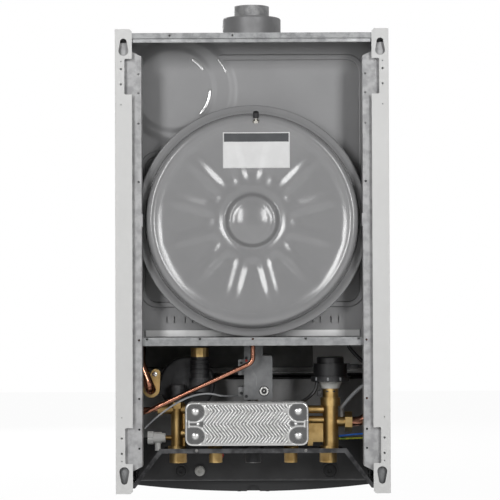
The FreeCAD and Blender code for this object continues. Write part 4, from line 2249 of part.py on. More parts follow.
steps = [
    side_panel, frame_post, top_panel, front_cover, vessel_shelf, vessel_clips, pipe_bracket,
    chamber_rear_wall, chamber_shell, chamber_front_plate, combustion_box, burner, burner_manifold,
    main_exchanger, flue_hood, fan_assembly, flue,
    vessel_rear_shell, vessel_front_shell, vessel_seam, vessel_diaphragm, vessel_valve, vessel_pipe,
    exchanger_stack, exchanger_cover, return_block, flow_block, diverter, flow_pipe_set, return_pipe_set,
    pump, air_vent, filling_tap, safety_valve, gas_valve, gas_pipes,
    control_fascia, control_box, gauge, circuit_board, wiring_loom,
]
for step in steps:
    step()
dial_knob("heating_knob", s.heat_knob_x)
dial_knob("hot_water_knob", s.hot_knob_x)
doc.recompute()

for item in doc.Objects:
    if "Invalid" in item.State or "Error" in item.State:
        raise RuntimeError(f"{item.Name} did not build")
for item in nodes:
    if item.Shape.isNull() or not item.Shape.isValid():
        raise RuntimeError(f"{item.Label} has no valid shape")

os.makedirs("parts", exist_ok=True)
for item in nodes:
    item.Shape.exportStep(f"parts/{item.Label}.step")
print(len(nodes), "sub-parts written")
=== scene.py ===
import math

import bmesh
import bpy
from mathutils import Matrix, Vector


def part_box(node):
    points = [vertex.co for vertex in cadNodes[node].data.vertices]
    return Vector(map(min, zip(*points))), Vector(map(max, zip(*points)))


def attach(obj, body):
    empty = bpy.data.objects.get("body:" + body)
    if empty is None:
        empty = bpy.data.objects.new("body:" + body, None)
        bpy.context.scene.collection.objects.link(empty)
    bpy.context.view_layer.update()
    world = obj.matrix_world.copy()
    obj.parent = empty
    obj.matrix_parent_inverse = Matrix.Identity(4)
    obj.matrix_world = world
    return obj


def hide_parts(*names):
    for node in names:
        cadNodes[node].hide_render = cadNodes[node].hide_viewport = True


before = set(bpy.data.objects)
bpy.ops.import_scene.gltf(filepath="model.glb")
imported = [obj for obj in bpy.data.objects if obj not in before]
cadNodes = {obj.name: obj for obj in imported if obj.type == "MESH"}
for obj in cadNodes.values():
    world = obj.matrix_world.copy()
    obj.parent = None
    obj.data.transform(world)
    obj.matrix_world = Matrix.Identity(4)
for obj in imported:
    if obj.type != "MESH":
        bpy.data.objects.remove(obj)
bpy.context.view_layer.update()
print("frame loaded:", len(cadNodes), "nodes")


# lengths in this file are millimetres: x, depth from the wall, height
def spot(x, depth, z):
    return Vector((x / 1000, -depth / 1000, z / 1000))


def tone(red, green, blue):  # screen colour to linear
    parts = [c / 255 for c in (red, green, blue)]
    return [p / 12.92 if p <= 0.04045 else ((p + 0.055) / 1.055) ** 2.4 for p in parts] + [1.0]


# shared surface effects
def startGroup(name, inputs, outputs):
    tree = bpy.data.node_groups.new(name, "ShaderNodeTree")
    for label, kind, value in inputs:
        socket = tree.interface.new_socket(label, in_out="INPUT", socket_type="NodeSocket" + kind)
        if value is not None:
            socket.default_value = value
    for label, kind in outputs:
        tree.interface.new_socket(label, in_out="OUTPUT", socket_type="NodeSocket" + kind)
    return tree, tree.nodes.new("NodeGroupInput"), tree.nodes.new("NodeGroupOutput")


def addNoise(tree, coords, scale, detail, rough=0.55):
    noise = tree.nodes.new("ShaderNodeTexNoise")
    noise.inputs["Detail"].default_value = detail
    noise.inputs["Roughness"].default_value = rough
    tree.links.new(coords, noise.inputs["Vector"])
    if isinstance(scale, (int, float)):
        noise.inputs["Scale"].default_value = scale
    else:
        tree.links.new(scale, noise.inputs["Scale"])
    return noise.outputs["Fac"]


def addRange(tree, value, low, high, toLow=0.0, toHigh=1.0):
    node = tree.nodes.new("ShaderNodeMapRange")
    node.interpolation_type = "SMOOTHSTEP"
    for key, number in (("From Min", low), ("From Max", high), ("To Min", toLow), ("To Max", toHigh)):
        if isinstance(number, (int, float)):
            node.inputs[key].default_value = number
        else:
            tree.links.new(number, node.inputs[key])
    tree.links.new(value, node.inputs["Value"])
    return node.outputs["Result"]


def addMath(tree, kind, first, second):
    node = tree.nodes.new("ShaderNodeMath")
    node.operation = kind
    for socket, value in zip(node.inputs, (first, second)):
        if isinstance(value, (int, float)):
            socket.default_value = value
        else:
            tree.links.new(value, socket)
    return node.outputs[0]


def addMix(tree, mask, first, second, blend="MIX"):
    node = tree.nodes.new("ShaderNodeMix")
    node.data_type = "RGBA"
    node.blend_type = blend
    sockets = [node.inputs[0], node.inputs[6], node.inputs[7]]
    for socket, value in zip(sockets, (mask, first, second)):
        if isinstance(value, (int, float, list, tuple)):
            socket.default_value = value
        else:
            tree.links.new(value, socket)
    return node.outputs[2]


def makeTintDrift():  # slow cloudy change between two colours, and of roughness with it
    tree, src, out = startGroup("tintDrift", [
        ("Coords", "Vector", None), ("Light", "Color", None),
        ("Dark", "Color", None), ("Scale", "Float", 20.0),
        ("Smooth", "Float", 0.3), ("Rough", "Float", 0.5),
    ], [("Color", "Color"), ("Roughness", "Float")])
    cloud = addNoise(tree, src.outputs["Coords"], src.outputs["Scale"], 5)
    mask = addRange(tree, cloud, 0.32, 0.68)
    tree.links.new(addMix(tree, mask, src.outputs["Dark"], src.outputs["Light"]), out.inputs["Color"])
    rough = addRange(tree, cloud, 0.3, 0.7, src.outputs["Rough"], src.outputs["Smooth"])
    tree.links.new(rough, out.inputs["Roughness"])
    return tree


def makeFineGrain():  # small bumps of moulded, cast or painted skin
    tree, src, out = startGroup("fineGrain", [
        ("Coords", "Vector", None), ("Scale", "Float", 900.0),
        ("Stretch", "Vector", (1.0, 1.0, 1.0)),
    ], [("Height", "Float")])
    stretch = tree.nodes.new("ShaderNodeVectorMath")
    stretch.operation = "MULTIPLY"
    tree.links.new(src.outputs["Coords"], stretch.inputs[0])
    tree.links.new(src.outputs["Stretch"], stretch.inputs[1])
    tree.links.new(addNoise(tree, stretch.outputs[0], src.outputs["Scale"], 4, 0.6), out.inputs["Height"])
    return tree


def makeEdgeRub():  # rubbed paint or plating along outer edges
    tree, src, out = startGroup("edgeRub", [
        ("Coords", "Vector", None), ("Amount", "Float", 0.5),
    ], [("Mask", "Float")])
    shape = tree.nodes.new("ShaderNodeNewGeometry")
    edge = addRange(tree, shape.outputs["Pointiness"], 0.52, 0.60)
    patch = addRange(tree, addNoise(tree, src.outputs["Coords"], 70.0, 6), 0.35, 0.62)
    both = addMath(tree, "MULTIPLY", edge, patch)
    tree.links.new(addMath(tree, "MULTIPLY", both, src.outputs["Amount"]), out.inputs["Mask"])
    return tree


def makeSettledDust():  # light dust on faces that look up
    tree, src, out = startGroup("settledDust", [
        ("Coords", "Vector", None), ("Amount", "Float", 0.3),
    ], [("Mask", "Float")])
    shape = tree.nodes.new("ShaderNodeNewGeometry")
    parts = tree.nodes.new("ShaderNodeSeparateXYZ")
    tree.links.new(shape.outputs["Normal"], parts.inputs[0])
    up = addRange(tree, parts.outputs["Z"], 0.25, 0.95)
    patch = addRange(tree, addNoise(tree, src.outputs["Coords"], 45.0, 6), 0.3, 0.75)
    both = addMath(tree, "MULTIPLY", up, patch)
    tree.links.new(addMath(tree, "MULTIPLY", both, src.outputs["Amount"]), out.inputs["Mask"])
    return tree


def makeSpangle():  # zinc crystals on galvanised sheet
    tree, src, out = startGroup("spangle", [
        ("Coords", "Vector", None), ("Scale", "Float", 90.0),
        ("Amount", "Float", 0.4),
    ], [("Mask", "Float")])
    cells = tree.nodes.new("ShaderNodeTexVoronoi")
    tree.links.new(src.outputs["Coords"], cells.inputs["Vector"])
    tree.links.new(src.outputs["Scale"], cells.inputs["Scale"])
    grey = tree.nodes.new("ShaderNodeSeparateColor")
    tree.links.new(cells.outputs["Color"], grey.inputs[0])
    tree.links.new(addMath(tree, "MULTIPLY", grey.outputs[0], src.outputs["Amount"]), out.inputs["Mask"])
    return tree


effects = {
    "tint": makeTintDrift(),
    "grain": makeFineGrain(),
    "rub": makeEdgeRub(),
    "dust": makeSettledDust(),
    "spangle": makeSpangle(),
}
print("surface effects ready")


def placeEffect(tree, key, coords, **values):
    node = tree.nodes.new("ShaderNodeGroup")
    node.node_tree = effects[key]
    tree.links.new(coords, node.inputs["Coords"])
    for label, value in values.items():
        node.inputs[label].default_value = value
    return node


# shared values of a finish; a row below gives its own and what differs
baseFinish = dict(metal=0.0, grain=1500.0, rub=0.1, dust=0.1, stretch=(1.0, 1.0, 1.0), bumpDepth=0.001,
                  crystal=(222, 224, 226), dustColor=(176, 172, 165))
finishes = {
    "whitePanel": dict(light=(213, 213, 212), dark=(211, 211, 210), rough=(0.38, 0.41), scale=9, grain=1400,
        bump=0.05, rub=0.04, rubColor=(170, 170, 168)),
    "galvanised": dict(light=(129, 130, 131), dark=(124, 125, 126), metal=0.4, rough=(0.38, 0.48), scale=14,
        grain=700, bump=0.05, rub=0.3, rubColor=(205, 206, 207), dust=0.2, spangle=(420.0, 0.05)),
    "wallSheet": dict(light=(142, 142, 143), dark=(137, 137, 138), metal=0.3, rough=(0.4, 0.48), scale=7,
        grain=420, bump=0.02, stretch=(0.06, 1.0, 1.0), rubColor=(170, 170, 170)),
    # the beads' finish: paler than the wall sheet they are pressed from, as painted highlight
    "beadPaintedHighlight": dict(light=(206, 206, 206), dark=(198, 198, 198), metal=0.5, rough=(0.2, 0.28), scale=20,
        grain=700, bump=0.02, rub=0.2, rubColor=(225, 225, 225), dust=0.05),
    # the shelf strip's finish: a bare-zinc tone brightened as painted light
    "zincAndPaintedLight": dict(light=(222, 222, 222), dark=(212, 212, 212), metal=0.1, rough=(0.4, 0.5), scale=14,
        grain=700, bump=0.04, rub=0.2, rubColor=(230, 230, 230), dust=0.15),
    # the cover sheet's finish: grey as painted shade in the gaps
    "paintedShadeGrey": dict(light=(122, 122, 120), dark=(112, 112, 110), rough=(0.75, 0.88), scale=60,
        grain=1300, bump=0.15, rubColor=(96, 96, 96), dust=0.15),
    "shieldSheet": dict(light=(128, 128, 128), dark=(120, 120, 120), metal=0.3, rough=(0.36, 0.46), scale=9,
        grain=600, bump=0.03, rub=0.2, rubColor=(150, 150, 150)),
    "postSheet": dict(light=(151, 151, 152), dark=(149, 149, 150), metal=0.2, rough=(0.42, 0.5), scale=12,
        grain=900, bump=0.03, rub=0.3, rubColor=(222, 222, 222)),
    "darkSheet": dict(light=(40, 40, 42), dark=(32, 32, 34), metal=0.3, rough=(0.45, 0.55), scale=25,
        grain=900, bump=0.06, rub=0.35, rubColor=(120, 120, 122), dust=0.12),
    "flueMetal": dict(light=(140, 140, 141), dark=(134, 134, 135), metal=0.45, rough=(0.5, 0.58), scale=30,
        grain=600, bump=0.05, stretch=(1.0, 1.0, 14.0), rub=0.3, rubColor=(215, 215, 215), dust=0.12),
    "vesselPaint": dict(light=(146, 146, 147), dark=(141, 141, 142), rough=(0.14, 0.19), scale=10,
        grain=1100, bump=0.02, rub=0.12, rubColor=(200, 200, 200), dust=0.06),
    "rubber": dict(light=(34, 34, 35), dark=(26, 26, 27), rough=(0.7, 0.85), scale=40, bump=0.08,
        rubColor=(70, 70, 70)),
    "nickel": dict(light=(205, 203, 198), dark=(186, 184, 178), metal=1.0, rough=(0.18, 0.30), scale=60,
        grain=900, bump=0.03, rub=0.3, rubColor=(225, 220, 205)),
    "blackPlastic": dict(light=(19, 19, 21), dark=(15, 15, 17), rough=(0.40, 0.55), scale=30, grain=1600,
        bump=0.08, rub=0.25, rubColor=(82, 82, 84), dust=0.12),
    "copper": dict(light=(184, 132, 110), dark=(156, 104, 84), metal=1.0, rough=(0.18, 0.27), scale=38,
        grain=700, bump=0.006, rub=0.2, rubColor=(232, 184, 158), dust=0.08),
    "plateSteel": dict(light=(190, 190, 189), dark=(176, 176, 174), metal=0.6, rough=(0.24, 0.32), scale=35,
        grain=900, bump=0.02, rub=0.4, rubColor=(226, 225, 222)),
    # the pressed plate's shade colour is painted shade, set by the mesh's shade mark
    "pressedSteel": dict(light=(226, 226, 225), dark=(216, 216, 214), metal=0.45, rough=(0.22, 0.3),
        scale=35, grain=900, bump=0.01, rubColor=(236, 235, 232), dust=0.06, shade=(66, 66, 67)),
    "brass": dict(light=(198, 168, 114), dark=(164, 134, 84), metal=1.0, rough=(0.38, 0.5), scale=45,
        grain=520, bump=0.16, rub=0.4, rubColor=(226, 198, 140), dust=0.06),
    "palePlastic": dict(light=(196, 196, 192), dark=(186, 186, 182), rough=(0.4, 0.5), scale=40, bump=0.06,
        rubColor=(215, 215, 212)),
    "steelRod": dict(light=(150, 149, 147), dark=(112, 111, 110), metal=0.9, rough=(0.32, 0.46), scale=40,
        grain=800, bump=0.07, rub=0.4, rubColor=(190, 190, 188)),
    "pumpCast": dict(light=(40, 40, 42), dark=(30, 30, 32), metal=0.2, rough=(0.45, 0.6), scale=45,
        grain=520, bump=0.22, rub=0.35, rubColor=(105, 105, 106), dust=0.14),
    "gasCast": dict(light=(112, 113, 114), dark=(96, 97, 98), metal=0.55, rough=(0.42, 0.55), scale=40,
        grain=600, bump=0.14, rub=0.12, rubColor=(196, 196, 196)),
    "whitePlastic": dict(light=(241, 241, 239), dark=(234, 234, 231), rough=(0.3, 0.4), scale=20,
        grain=1600, bump=0.04, rubColor=(236, 236, 234), dust=0.08),
    "fasciaGrey": dict(light=(24, 25, 27), dark=(22, 23, 25), rough=(0.45, 0.49), scale=16, bump=0.07,
        rub=0.03, rubColor=(90, 91, 93)),
    "stickerWhite": dict(light=(226, 226, 226), dark=(220, 220, 220), rough=(0.34, 0.44), scale=40,
        grain=1600, bump=0.02, rub=0.05, rubColor=(220, 220, 220), dust=0.04),
    "stickerDark": dict(light=(72, 74, 77), dark=(62, 64, 67), rough=(0.34, 0.44), scale=40, grain=1600,
        bump=0.02, rub=0.05, rubColor=(120, 120, 120), dust=0.04),
    "zinc": dict(light=(232, 232, 230), dark=(206, 206, 203), metal=0.9, rough=(0.2, 0.32), scale=120,
        grain=900, bump=0.04, rub=0.3, rubColor=(240, 240, 238), dust=0.05),
    "leadGrey": dict(light=(150, 152, 154), dark=(134, 136, 138), rough=(0.35, 0.45), scale=90, bump=0.05,
        rubColor=(180, 180, 180), dust=0.08),
    "leadBlack": dict(light=(36, 36, 37), dark=(27, 27, 28), rough=(0.35, 0.5), scale=90, bump=0.06,
        rubColor=(70, 70, 72), dust=0.08),
    "leadBlue": dict(light=(40, 112, 214), dark=(28, 90, 184), rough=(0.3, 0.4), scale=90, bump=0.04,
        rubColor=(100, 150, 225), dust=0.05),
    "leadEarth": dict(light=(196, 186, 52), dark=(60, 122, 48), rough=(0.3, 0.4), scale=160, bump=0.04,
        rubColor=(210, 205, 110), dust=0.05),
    "redPlastic": dict(light=(196, 40, 34), dark=(170, 28, 24), rough=(0.3, 0.4), scale=40, grain=1400,
        bump=0.05, rub=0.2, rubColor=(220, 90, 80), dust=0.06),
    "boardGreen": dict(light=(42, 104, 66), dark=(30, 84, 52), rough=(0.3, 0.45), scale=70, grain=900,
        bump=0.06, rub=0.2, rubColor=(90, 140, 100)),
}


def makeFinish(name, spec):
    material = bpy.data.materials.new(name)
    material.use_nodes = True
    tree = material.node_tree
    shader = tree.nodes["Principled BSDF"]
    coords = tree.nodes.new("ShaderNodeTexCoord").outputs["Object"]
    tint = placeEffect(tree, "tint", coords, Light=tone(*spec["light"]), Dark=tone(*spec["dark"]),
                       Scale=spec["scale"], Smooth=spec["rough"][0], Rough=spec["rough"][1])
    colour = tint.outputs["Color"]
    if "shade" in spec:  # painted shade: darker where the mesh's shade mark is low
        paintedShade = tree.nodes.new("ShaderNodeAttribute")
        paintedShade.attribute_name = "shade"
        colour = addMix(tree, paintedShade.outputs["Fac"], tone(*spec["shade"]), colour)
    if "spangle" in spec:
        cells = placeEffect(tree, "spangle", coords, Scale=spec["spangle"][0], Amount=spec["spangle"][1])
        colour = addMix(tree, cells.outputs["Mask"], colour, tone(*spec["crystal"]))
    rub = placeEffect(tree, "rub", coords, Amount=spec["rub"])
    colour = addMix(tree, rub.outputs["Mask"], colour, tone(*spec["rubColor"]))
    dust = placeEffect(tree, "dust", coords, Amount=spec["dust"])
    colour = addMix(tree, dust.outputs["Mask"], colour, tone(*spec["dustColor"]))
    tree.links.new(colour, shader.inputs["Base Color"])
    tree.links.new(tint.outputs["Roughness"], shader.inputs["Roughness"])
    shader.inputs["Metallic"].default_value = spec["metal"]
    grain = placeEffect(tree, "grain", coords, Scale=spec["grain"], Stretch=spec["stretch"])
    bump = tree.nodes.new("ShaderNodeBump")
    bump.inputs["Strength"].default_value = spec["bump"]
    bump.inputs["Distance"].default_value = spec["bumpDepth"]
    tree.links.new(grain.outputs["Height"], bump.inputs["Height"])
    tree.links.new(bump.outputs["Normal"], shader.inputs["Normal"])
    return material


looks = {name: makeFinish(name, {**baseFinish, **spec}) for name, spec in finishes.items()}
lensLook = dict(light=(255, 255, 255), dark=(248, 249, 250), scale=60.0, rough=(0.02, 0.07), bend=1.49)


def makeClearLens():
    material = bpy.data.materials.new("clearLens")
    material.use_nodes = True
    tree = material.node_tree
    shader = tree.nodes["Principled BSDF"]
    coords = tree.nodes.new("ShaderNodeTexCoord").outputs["Object"]
    smudge = placeEffect(tree, "tint", coords, Light=tone(*lensLook["light"]), Dark=tone(*lensLook["dark"]),
                         Scale=lensLook["scale"], Smooth=lensLook["rough"][0], Rough=lensLook["rough"][1])
    tree.links.new(smudge.outputs["Color"], shader.inputs["Base Color"])
    tree.links.new(smudge.outputs["Roughness"], shader.inputs["Roughness"])
    shader.inputs["Transmission Weight"].default_value = 1.0
    shader.inputs["IOR"].default_value = lensLook["bend"]
    return material


looks["clearLens"] = makeClearLens()

# which finish each CAD node wears
nodeFinish = {
    "whitePanel": ["right_side_panel", "left_side_panel", "front_cover"],
    "postSheet": ["right_frame_post", "left_frame_post", "vessel_clips"],
    "galvanised": ["top_panel", "vessel_shelf", "chamber_shell", "chamber_front_plate",
                   "flue_hood", "combustion_box", "burner"],
    "wallSheet": ["chamber_rear_wall"],
    "darkSheet": ["pipe_bracket"],
    "flueMetal": ["flue_turret", "flue_spigot"],
    "vesselPaint": ["vessel_rear_shell", "vessel_front_shell", "vessel_crimp_ring"],
    "rubber": ["vessel_diaphragm"],
    "nickel": ["vessel_valve"],
    "blackPlastic": ["vessel_valve_cap", "diverter_actuator", "air_vent_body", "fan_motor", "control_box",
                     "pressure_gauge", "heating_knob", "hot_water_knob", "wiring_loom"],
    "copper": ["vessel_pipe", "flow_pipe", "return_pipe", "main_exchanger"],
    "plateSteel": ["exchanger_cover_plate", "exchanger_plate_stack"],
    "brass": ["return_block", "flow_block", "flow_pipe_nut", "return_pipe_flange", "air_vent_cap",
              "safety_valve", "burner_manifold"],
    "palePlastic": ["actuator_collar"],
    "steelRod": ["diverter_stem", "gas_inlet_pipe", "gas_burner_pipe"],
    "pumpCast": ["pump_volute", "pump_motor", "pump_impeller"],
    "gasCast": ["gas_valve", "fan_scroll", "fan_impeller"],
    "whitePlastic": ["filling_tap_body", "filling_tap_knob"],
    "fasciaGrey": ["control_fascia"],
    "redPlastic": ["safety_valve_knob", "gauge_needle"],
    "boardGreen": ["circuit_board"],
}
for look, names in nodeFinish.items():
    for name in names:
        node = cadNodes[name]
        node.data.materials.clear()
        node.data.materials.append(looks[look])
print("finishes on", sum(len(names) for names in nodeFinish.values()), "nodes")


# pieces in mesh code
def addPiece(name, mesh, finish, body="boiler", crease=35.0):
    mesh.materials.append(looks[finish])
    mesh.shade_smooth()
    mesh.set_sharp_from_angle(angle=math.radians(crease))
    piece = bpy.data.objects.new(name, mesh)
    bpy.context.collection.objects.link(piece)
    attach(piece, body)
    return piece


def plainMesh(name, points, faces):
    mesh = bpy.data.meshes.new(name)
    mesh.from_pydata(points, [], faces)
    mesh.validate()
    return mesh


def gridFaces(rows, count, start=0, loop=False):  # quads between rows of count points each
    faces = []
    for row in range(rows - 1):
        for n in range(count if loop else count - 1):
            here, after = start + row * count + n, start + row * count + (n + 1) % count
            faces.append((here, here + count, after + count, after))
    return faces


def discFaces(rings, count):  # a middle point, then rings of count points
    return [(0, 1 + n, 1 + (n + 1) % count) for n in range(count)] + gridFaces(rings, count, 1, True)


def faceAlong(mesh, index, way):  # turn the mesh over where that face looks the other way
    if mesh.polygons[index].normal.dot(Vector(way)) < 0:
        mesh.flip_normals()


def thicken(piece, sheet):
    solid = piece.modifiers.new("sheet", "SOLIDIFY")
    solid.thickness = sheet / 1000
    solid.offset = -1.0


def smoothStep(value, low, high):
    t = min(max((value - low) / (high - low), 0.0), 1.0)
    return t * t * (3 - 2 * t)


def softLine(points, step):  # run of (across, along, cut) points, each corner eased over its cut
    line = [Vector(points[0][:2])]
    for before, here, after in zip(points, points[1:], points[2:]):
        a, b, c = (Vector(p[:2]) for p in (before, here, after))
        start = b + (a - b).normalized() * here[2]
        end = b + (c - b).normalized() * here[2]
        bits = max(2, math.ceil(2 * here[2] / step))
        for n in range(bits + 1):
            t = n / bits
            line.append(start * (1 - t) ** 2 + b * (2 * t * (1 - t)) + end * (t * t))
    line.append(Vector(points[-1][:2]))
    full = [line[0]]
    for a, b in zip(line, line[1:]):
        count = max(1, math.ceil((b - a).length / step))
        full += [a + (b - a) * (n / count) for n in range(1, count + 1)]
    return full


def outlineReach(radius, turn, outline):  # round, flat-sided or cross-shaped ring
    if outline is None:
        return radius
    kind, value = outline
    if kind == "sides":
        part = 2 * math.pi / value
        return radius * math.cos(part / 2) / math.cos(turn % part - part / 2)
    run, rise = max(abs(math.cos(turn)), 1e-6), max(abs(math.sin(turn)), 1e-6)
    return max(min(radius / run, value / rise), min(radius / rise, value / run))


# a turned piece from rings of (radius, rise, outline)
def addTurned(name, profile, place, along, finish, body="boiler", segments=48, loop=False):
    shape = bmesh.new()
    rings = []
    for entry in profile:
        radius, rise = entry[:2]
        outline = entry[2] if len(entry) > 2 else None
        if radius == 0:
            rings.append([shape.verts.new((0, 0, rise))])
            continue
        turns = [2 * math.pi * n / segments for n in range(segments)]
        reaches = [outlineReach(radius, turn, outline) for turn in turns]
        rings.append([shape.verts.new((reach * math.cos(turn), reach * math.sin(turn), rise))
                      for reach, turn in zip(reaches, turns)])
    pairs = list(zip(rings, rings[1:])) + ([(rings[-1], rings[0])] if loop else [])
    for low, high in pairs:
        for n in range(segments):
            after = (n + 1) % segments
            corners = [low[n % len(low)], low[after % len(low)], high[after % len(high)], high[n % len(high)]]
            shape.faces.new(list(dict.fromkeys(corners)))
    bmesh.ops.recalc_face_normals(shape, faces=shape.faces)
    aim = Vector(along).to_track_quat("Z", "Y").to_matrix().to_4x4()
    shape.transform(Matrix.Translation(spot(*place)) @ aim @ Matrix.Scale(0.001, 4))
    mesh = bpy.data.meshes.new(name)
    shape.to_mesh(mesh)
    shape.free()
    addPiece(name, mesh, finish, body)


# a small moulded or folded block; turn is about its upright axis
def addSoftBox(name, lows, highs, ease, finish, slotName, body="boiler", turn=0.0):
    shape = bmesh.new()
    bmesh.ops.create_cube(shape, size=1.0)
    middle = [(a + b) / 2 for a, b in zip(lows, highs)]
    sides = [abs(b - a) / 1000 for a, b in zip(lows, highs)]
    bmesh.ops.scale(shape, vec=sides, verts=shape.verts)
    bmesh.ops.bevel(shape, geom=list(shape.edges), offset=ease / 1000, segments=3, profile=0.5,
                    affect="EDGES")
    shape.transform(Matrix.Translation(spot(*middle)) @ Matrix.Rotation(math.radians(turn), 4, "Z"))
    mesh = bpy.data.meshes.new(name)
    shape.to_mesh(mesh)
    shape.free()
    addPiece(name, mesh, finish, body)


# pressed rear half of the vessel: domed middle, ring, ribbed dish, rolled crest
vessel = dict(
    profile=[(0, 19.0, 0.1), (8, 19.26, 2), (16, 20.06, 2), (24, 21.4, 2), (29.5, 22.85, 2), (33, 23.5, 1.5),
             (39, 23.9, 2.6), (45.6, 37.0, 3.0), (58, 34.4, 5), (76, 36.4, 8), (110, 32.8, 12),
             (140, 29.6, 6), (151, 28.3, 5), (158, 26.4, 3), (163.5, 24.6, 2.4), (170.5, 24.9, 3),
             (175, 29.5, 3), (179.2, 59.1, 1.6), (191.6, 59.1, 0.1)],
    step=2.2, segments=216, sheet=1.5,
    ribs=12, ribStart=15.0, ribHeight=2.1, ribHalf=(1.0, 16.0), ribRise=(54.0, 79.0), ribFade=(106.0, 160.0),
)
shellLow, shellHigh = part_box("vessel_rear_shell")
vesselMiddle = ((shellLow[0] + shellHigh[0]) * 500, (shellLow[2] + shellHigh[2]) * 500)
shellLine = softLine(vessel["profile"], vessel["step"])


def ribLift(radius, turn):
    part = 2 * math.pi / vessel["ribs"]
    aside = (turn - math.radians(vessel["ribStart"]) + part / 2) % part - part / 2
    across = 1 - smoothStep(abs(radius * math.sin(aside)), *vessel["ribHalf"])
    along = smoothStep(radius, *vessel["ribRise"]) * (1 - smoothStep(radius, *vessel["ribFade"]))
    return vessel["ribHeight"] * across * along


def shellDepth(radius, turn):
    for a, b in zip(shellLine, shellLine[1:]):
        if a.x <= radius <= b.x and b.x > a.x:
            share = (radius - a.x) / (b.x - a.x)
            return a.y + (b.y - a.y) * share - ribLift(radius, turn)
    return shellLine[-1].y


def makeVesselShell():
    points = [spot(vesselMiddle[0], shellLine[0].y, vesselMiddle[1])]
    count = vessel["segments"]
    for stop in shellLine[1:]:
        for n in range(count):
            turn = 2 * math.pi * n / count
            depth = stop.y - ribLift(stop.x, turn)
            points.append(spot(vesselMiddle[0] + stop.x * math.cos(turn), depth,
                               vesselMiddle[1] + stop.x * math.sin(turn)))
    mesh = plainMesh("vesselShell", points, discFaces(len(shellLine) - 1, count))
    faceAlong(mesh, 0, (0, 1, 0))
    piece = addPiece("vesselShell", mesh, "vesselPaint", crease=60.0)
    thicken(piece, vessel["sheet"])
    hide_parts("vessel_rear_shell")


makeVesselShell()

# blank sticker above the dome, white under a dark band
sticker = dict(left=48.3, right=-62.6, high=-147.4, low=-206.6, columns=60, rows=34, bandRows=9, proud=0.3,
               sheet=0.2)


def makeSticker():
    points = []
    columns, rows = sticker["columns"], sticker["rows"]
    for row in range(rows + 1):
        z = sticker["high"] + (sticker["low"] - sticker["high"]) * row / rows
        for column in range(columns + 1):
            x = sticker["left"] + (sticker["right"] - sticker["left"]) * column / columns
            across, up = x - vesselMiddle[0], z - vesselMiddle[1]
            depth = shellDepth(math.hypot(across, up), math.atan2(up, across))
            points.append(spot(x, depth - sticker["proud"], z))
    mesh = plainMesh("blankSticker", points, gridFaces(rows + 1, columns + 1))
    piece = addPiece("blankSticker", mesh, "stickerWhite", crease=60.0)
    mesh.materials.append(looks["stickerDark"])
    for face in mesh.polygons:
        row, column = divmod(face.index, columns)
        face.material_index = 1 if 0 < row < sticker["bandRows"] and 0 < column < columns - 1 else 0
    faceAlong(mesh, 0, (0, 1, 0))
    thicken(piece, sticker["sheet"])


makeSticker()
print("vessel shell and sticker made")

# soft pressing on the chamber's rear wall: a round field with a raised ring inside it
pressing = dict(middle=(120.4, -68.5), ring=(133.4, -67.0), wall=114.95, rings=56, segments=160,
                fieldRise=3.15, fieldEase=(80.6, 98.0), ringRise=2.1, ringEase=(64.0, 76.0),
                limitX=213.6, limitZ=13.2)


def pressingRise(x, z):
    field = math.hypot(x - pressing["middle"][0], z - pressing["middle"][1])
    ring = math.hypot(x - pressing["ring"][0], z - pressing["ring"][1])
    rise = pressing["fieldRise"] * (1 - smoothStep(field, *pressing["fieldEase"]))
    return rise + pressing["ringRise"] * (1 - smoothStep(ring, *pressing["ringEase"]))


def makePressing():
    middleX, middleZ = pressing["middle"]
    count, rings = pressing["segments"], pressing["rings"]
    points = [spot(middleX, pressing["wall"] - pressingRise(middleX, middleZ), middleZ)]
    for ring in range(1, rings + 1):
        for n in range(count):
            turn = 2 * math.pi * n / count
            reach = pressing["fieldEase"][1] * ring / rings
            x = min(middleX + reach * math.cos(turn), pressing["limitX"])
            z = min(middleZ + reach * math.sin(turn), pressing["limitZ"])
            points.append(spot(x, pressing["wall"] - pressingRise(x, z), z))
    mesh = plainMesh("wallPressing", points, discFaces(rings, count))
    faceAlong(mesh, 0, (0, 1, 0))
    addPiece("wallPressing", mesh, "wallSheet", crease=60.0)


makePressing()

# three short half-round beads pressed into the round field and its edge, paler than the wall as painted
# highlight
shortBeads = dict(bits=20, around=8, sink=0.3, blunt=12, least=0.0025, runs=dict(
    shortBeadHigh=("ring", 60.0, 121.0, 149.0, 7.0, 1.6),
    shortBeadLow=("ring", 62.5, 179.0, 226.0, 7.0, 1.6),
    shortBeadEdge=("middle", 82.0, 139.0, 160.0, 4.4, 1.2)))


def makeShortBead(name, centre, radius, start, end, wide, high):
    points = []
    middleX, middleZ = pressing[centre]
    sink = shortBeads["sink"]
    for n in range(shortBeads["bits"] + 1):
        share = n / shortBeads["bits"]
        turn = math.radians(start + (end - start) * share)
        size = math.sqrt(max(1 - (2 * share - 1) ** shortBeads["blunt"], shortBeads["least"]))
        for k in range(shortBeads["around"] + 1):
            lean = math.pi * k / shortBeads["around"]
            reach = radius + wide / 2 * size * math.cos(lean)
            x, z = middleX + reach * math.cos(turn), middleZ + reach * math.sin(turn)
            depth = pressing["wall"] - pressingRise(x, z) + sink - (high + sink) * size * math.sin(lean)
            points.append(spot(x, depth, z))
    row = shortBeads["around"] + 1
    faces = gridFaces(shortBeads["bits"] + 1, row, loop=True)
    faces += [tuple(range(row)), tuple(len(points) - 1 - k for k in range(row))]
    mesh = plainMesh(name, points, faces)
    faceAlong(mesh, shortBeads["bits"] // 2 * row + shortBeads["around"] // 2, (0, 1, 0))
    addPiece(name, mesh, "beadPaintedHighlight", crease=60.0)


for name, run in shortBeads["runs"].items():
    makeShortBead(name, *run)
print("wall pressing made")
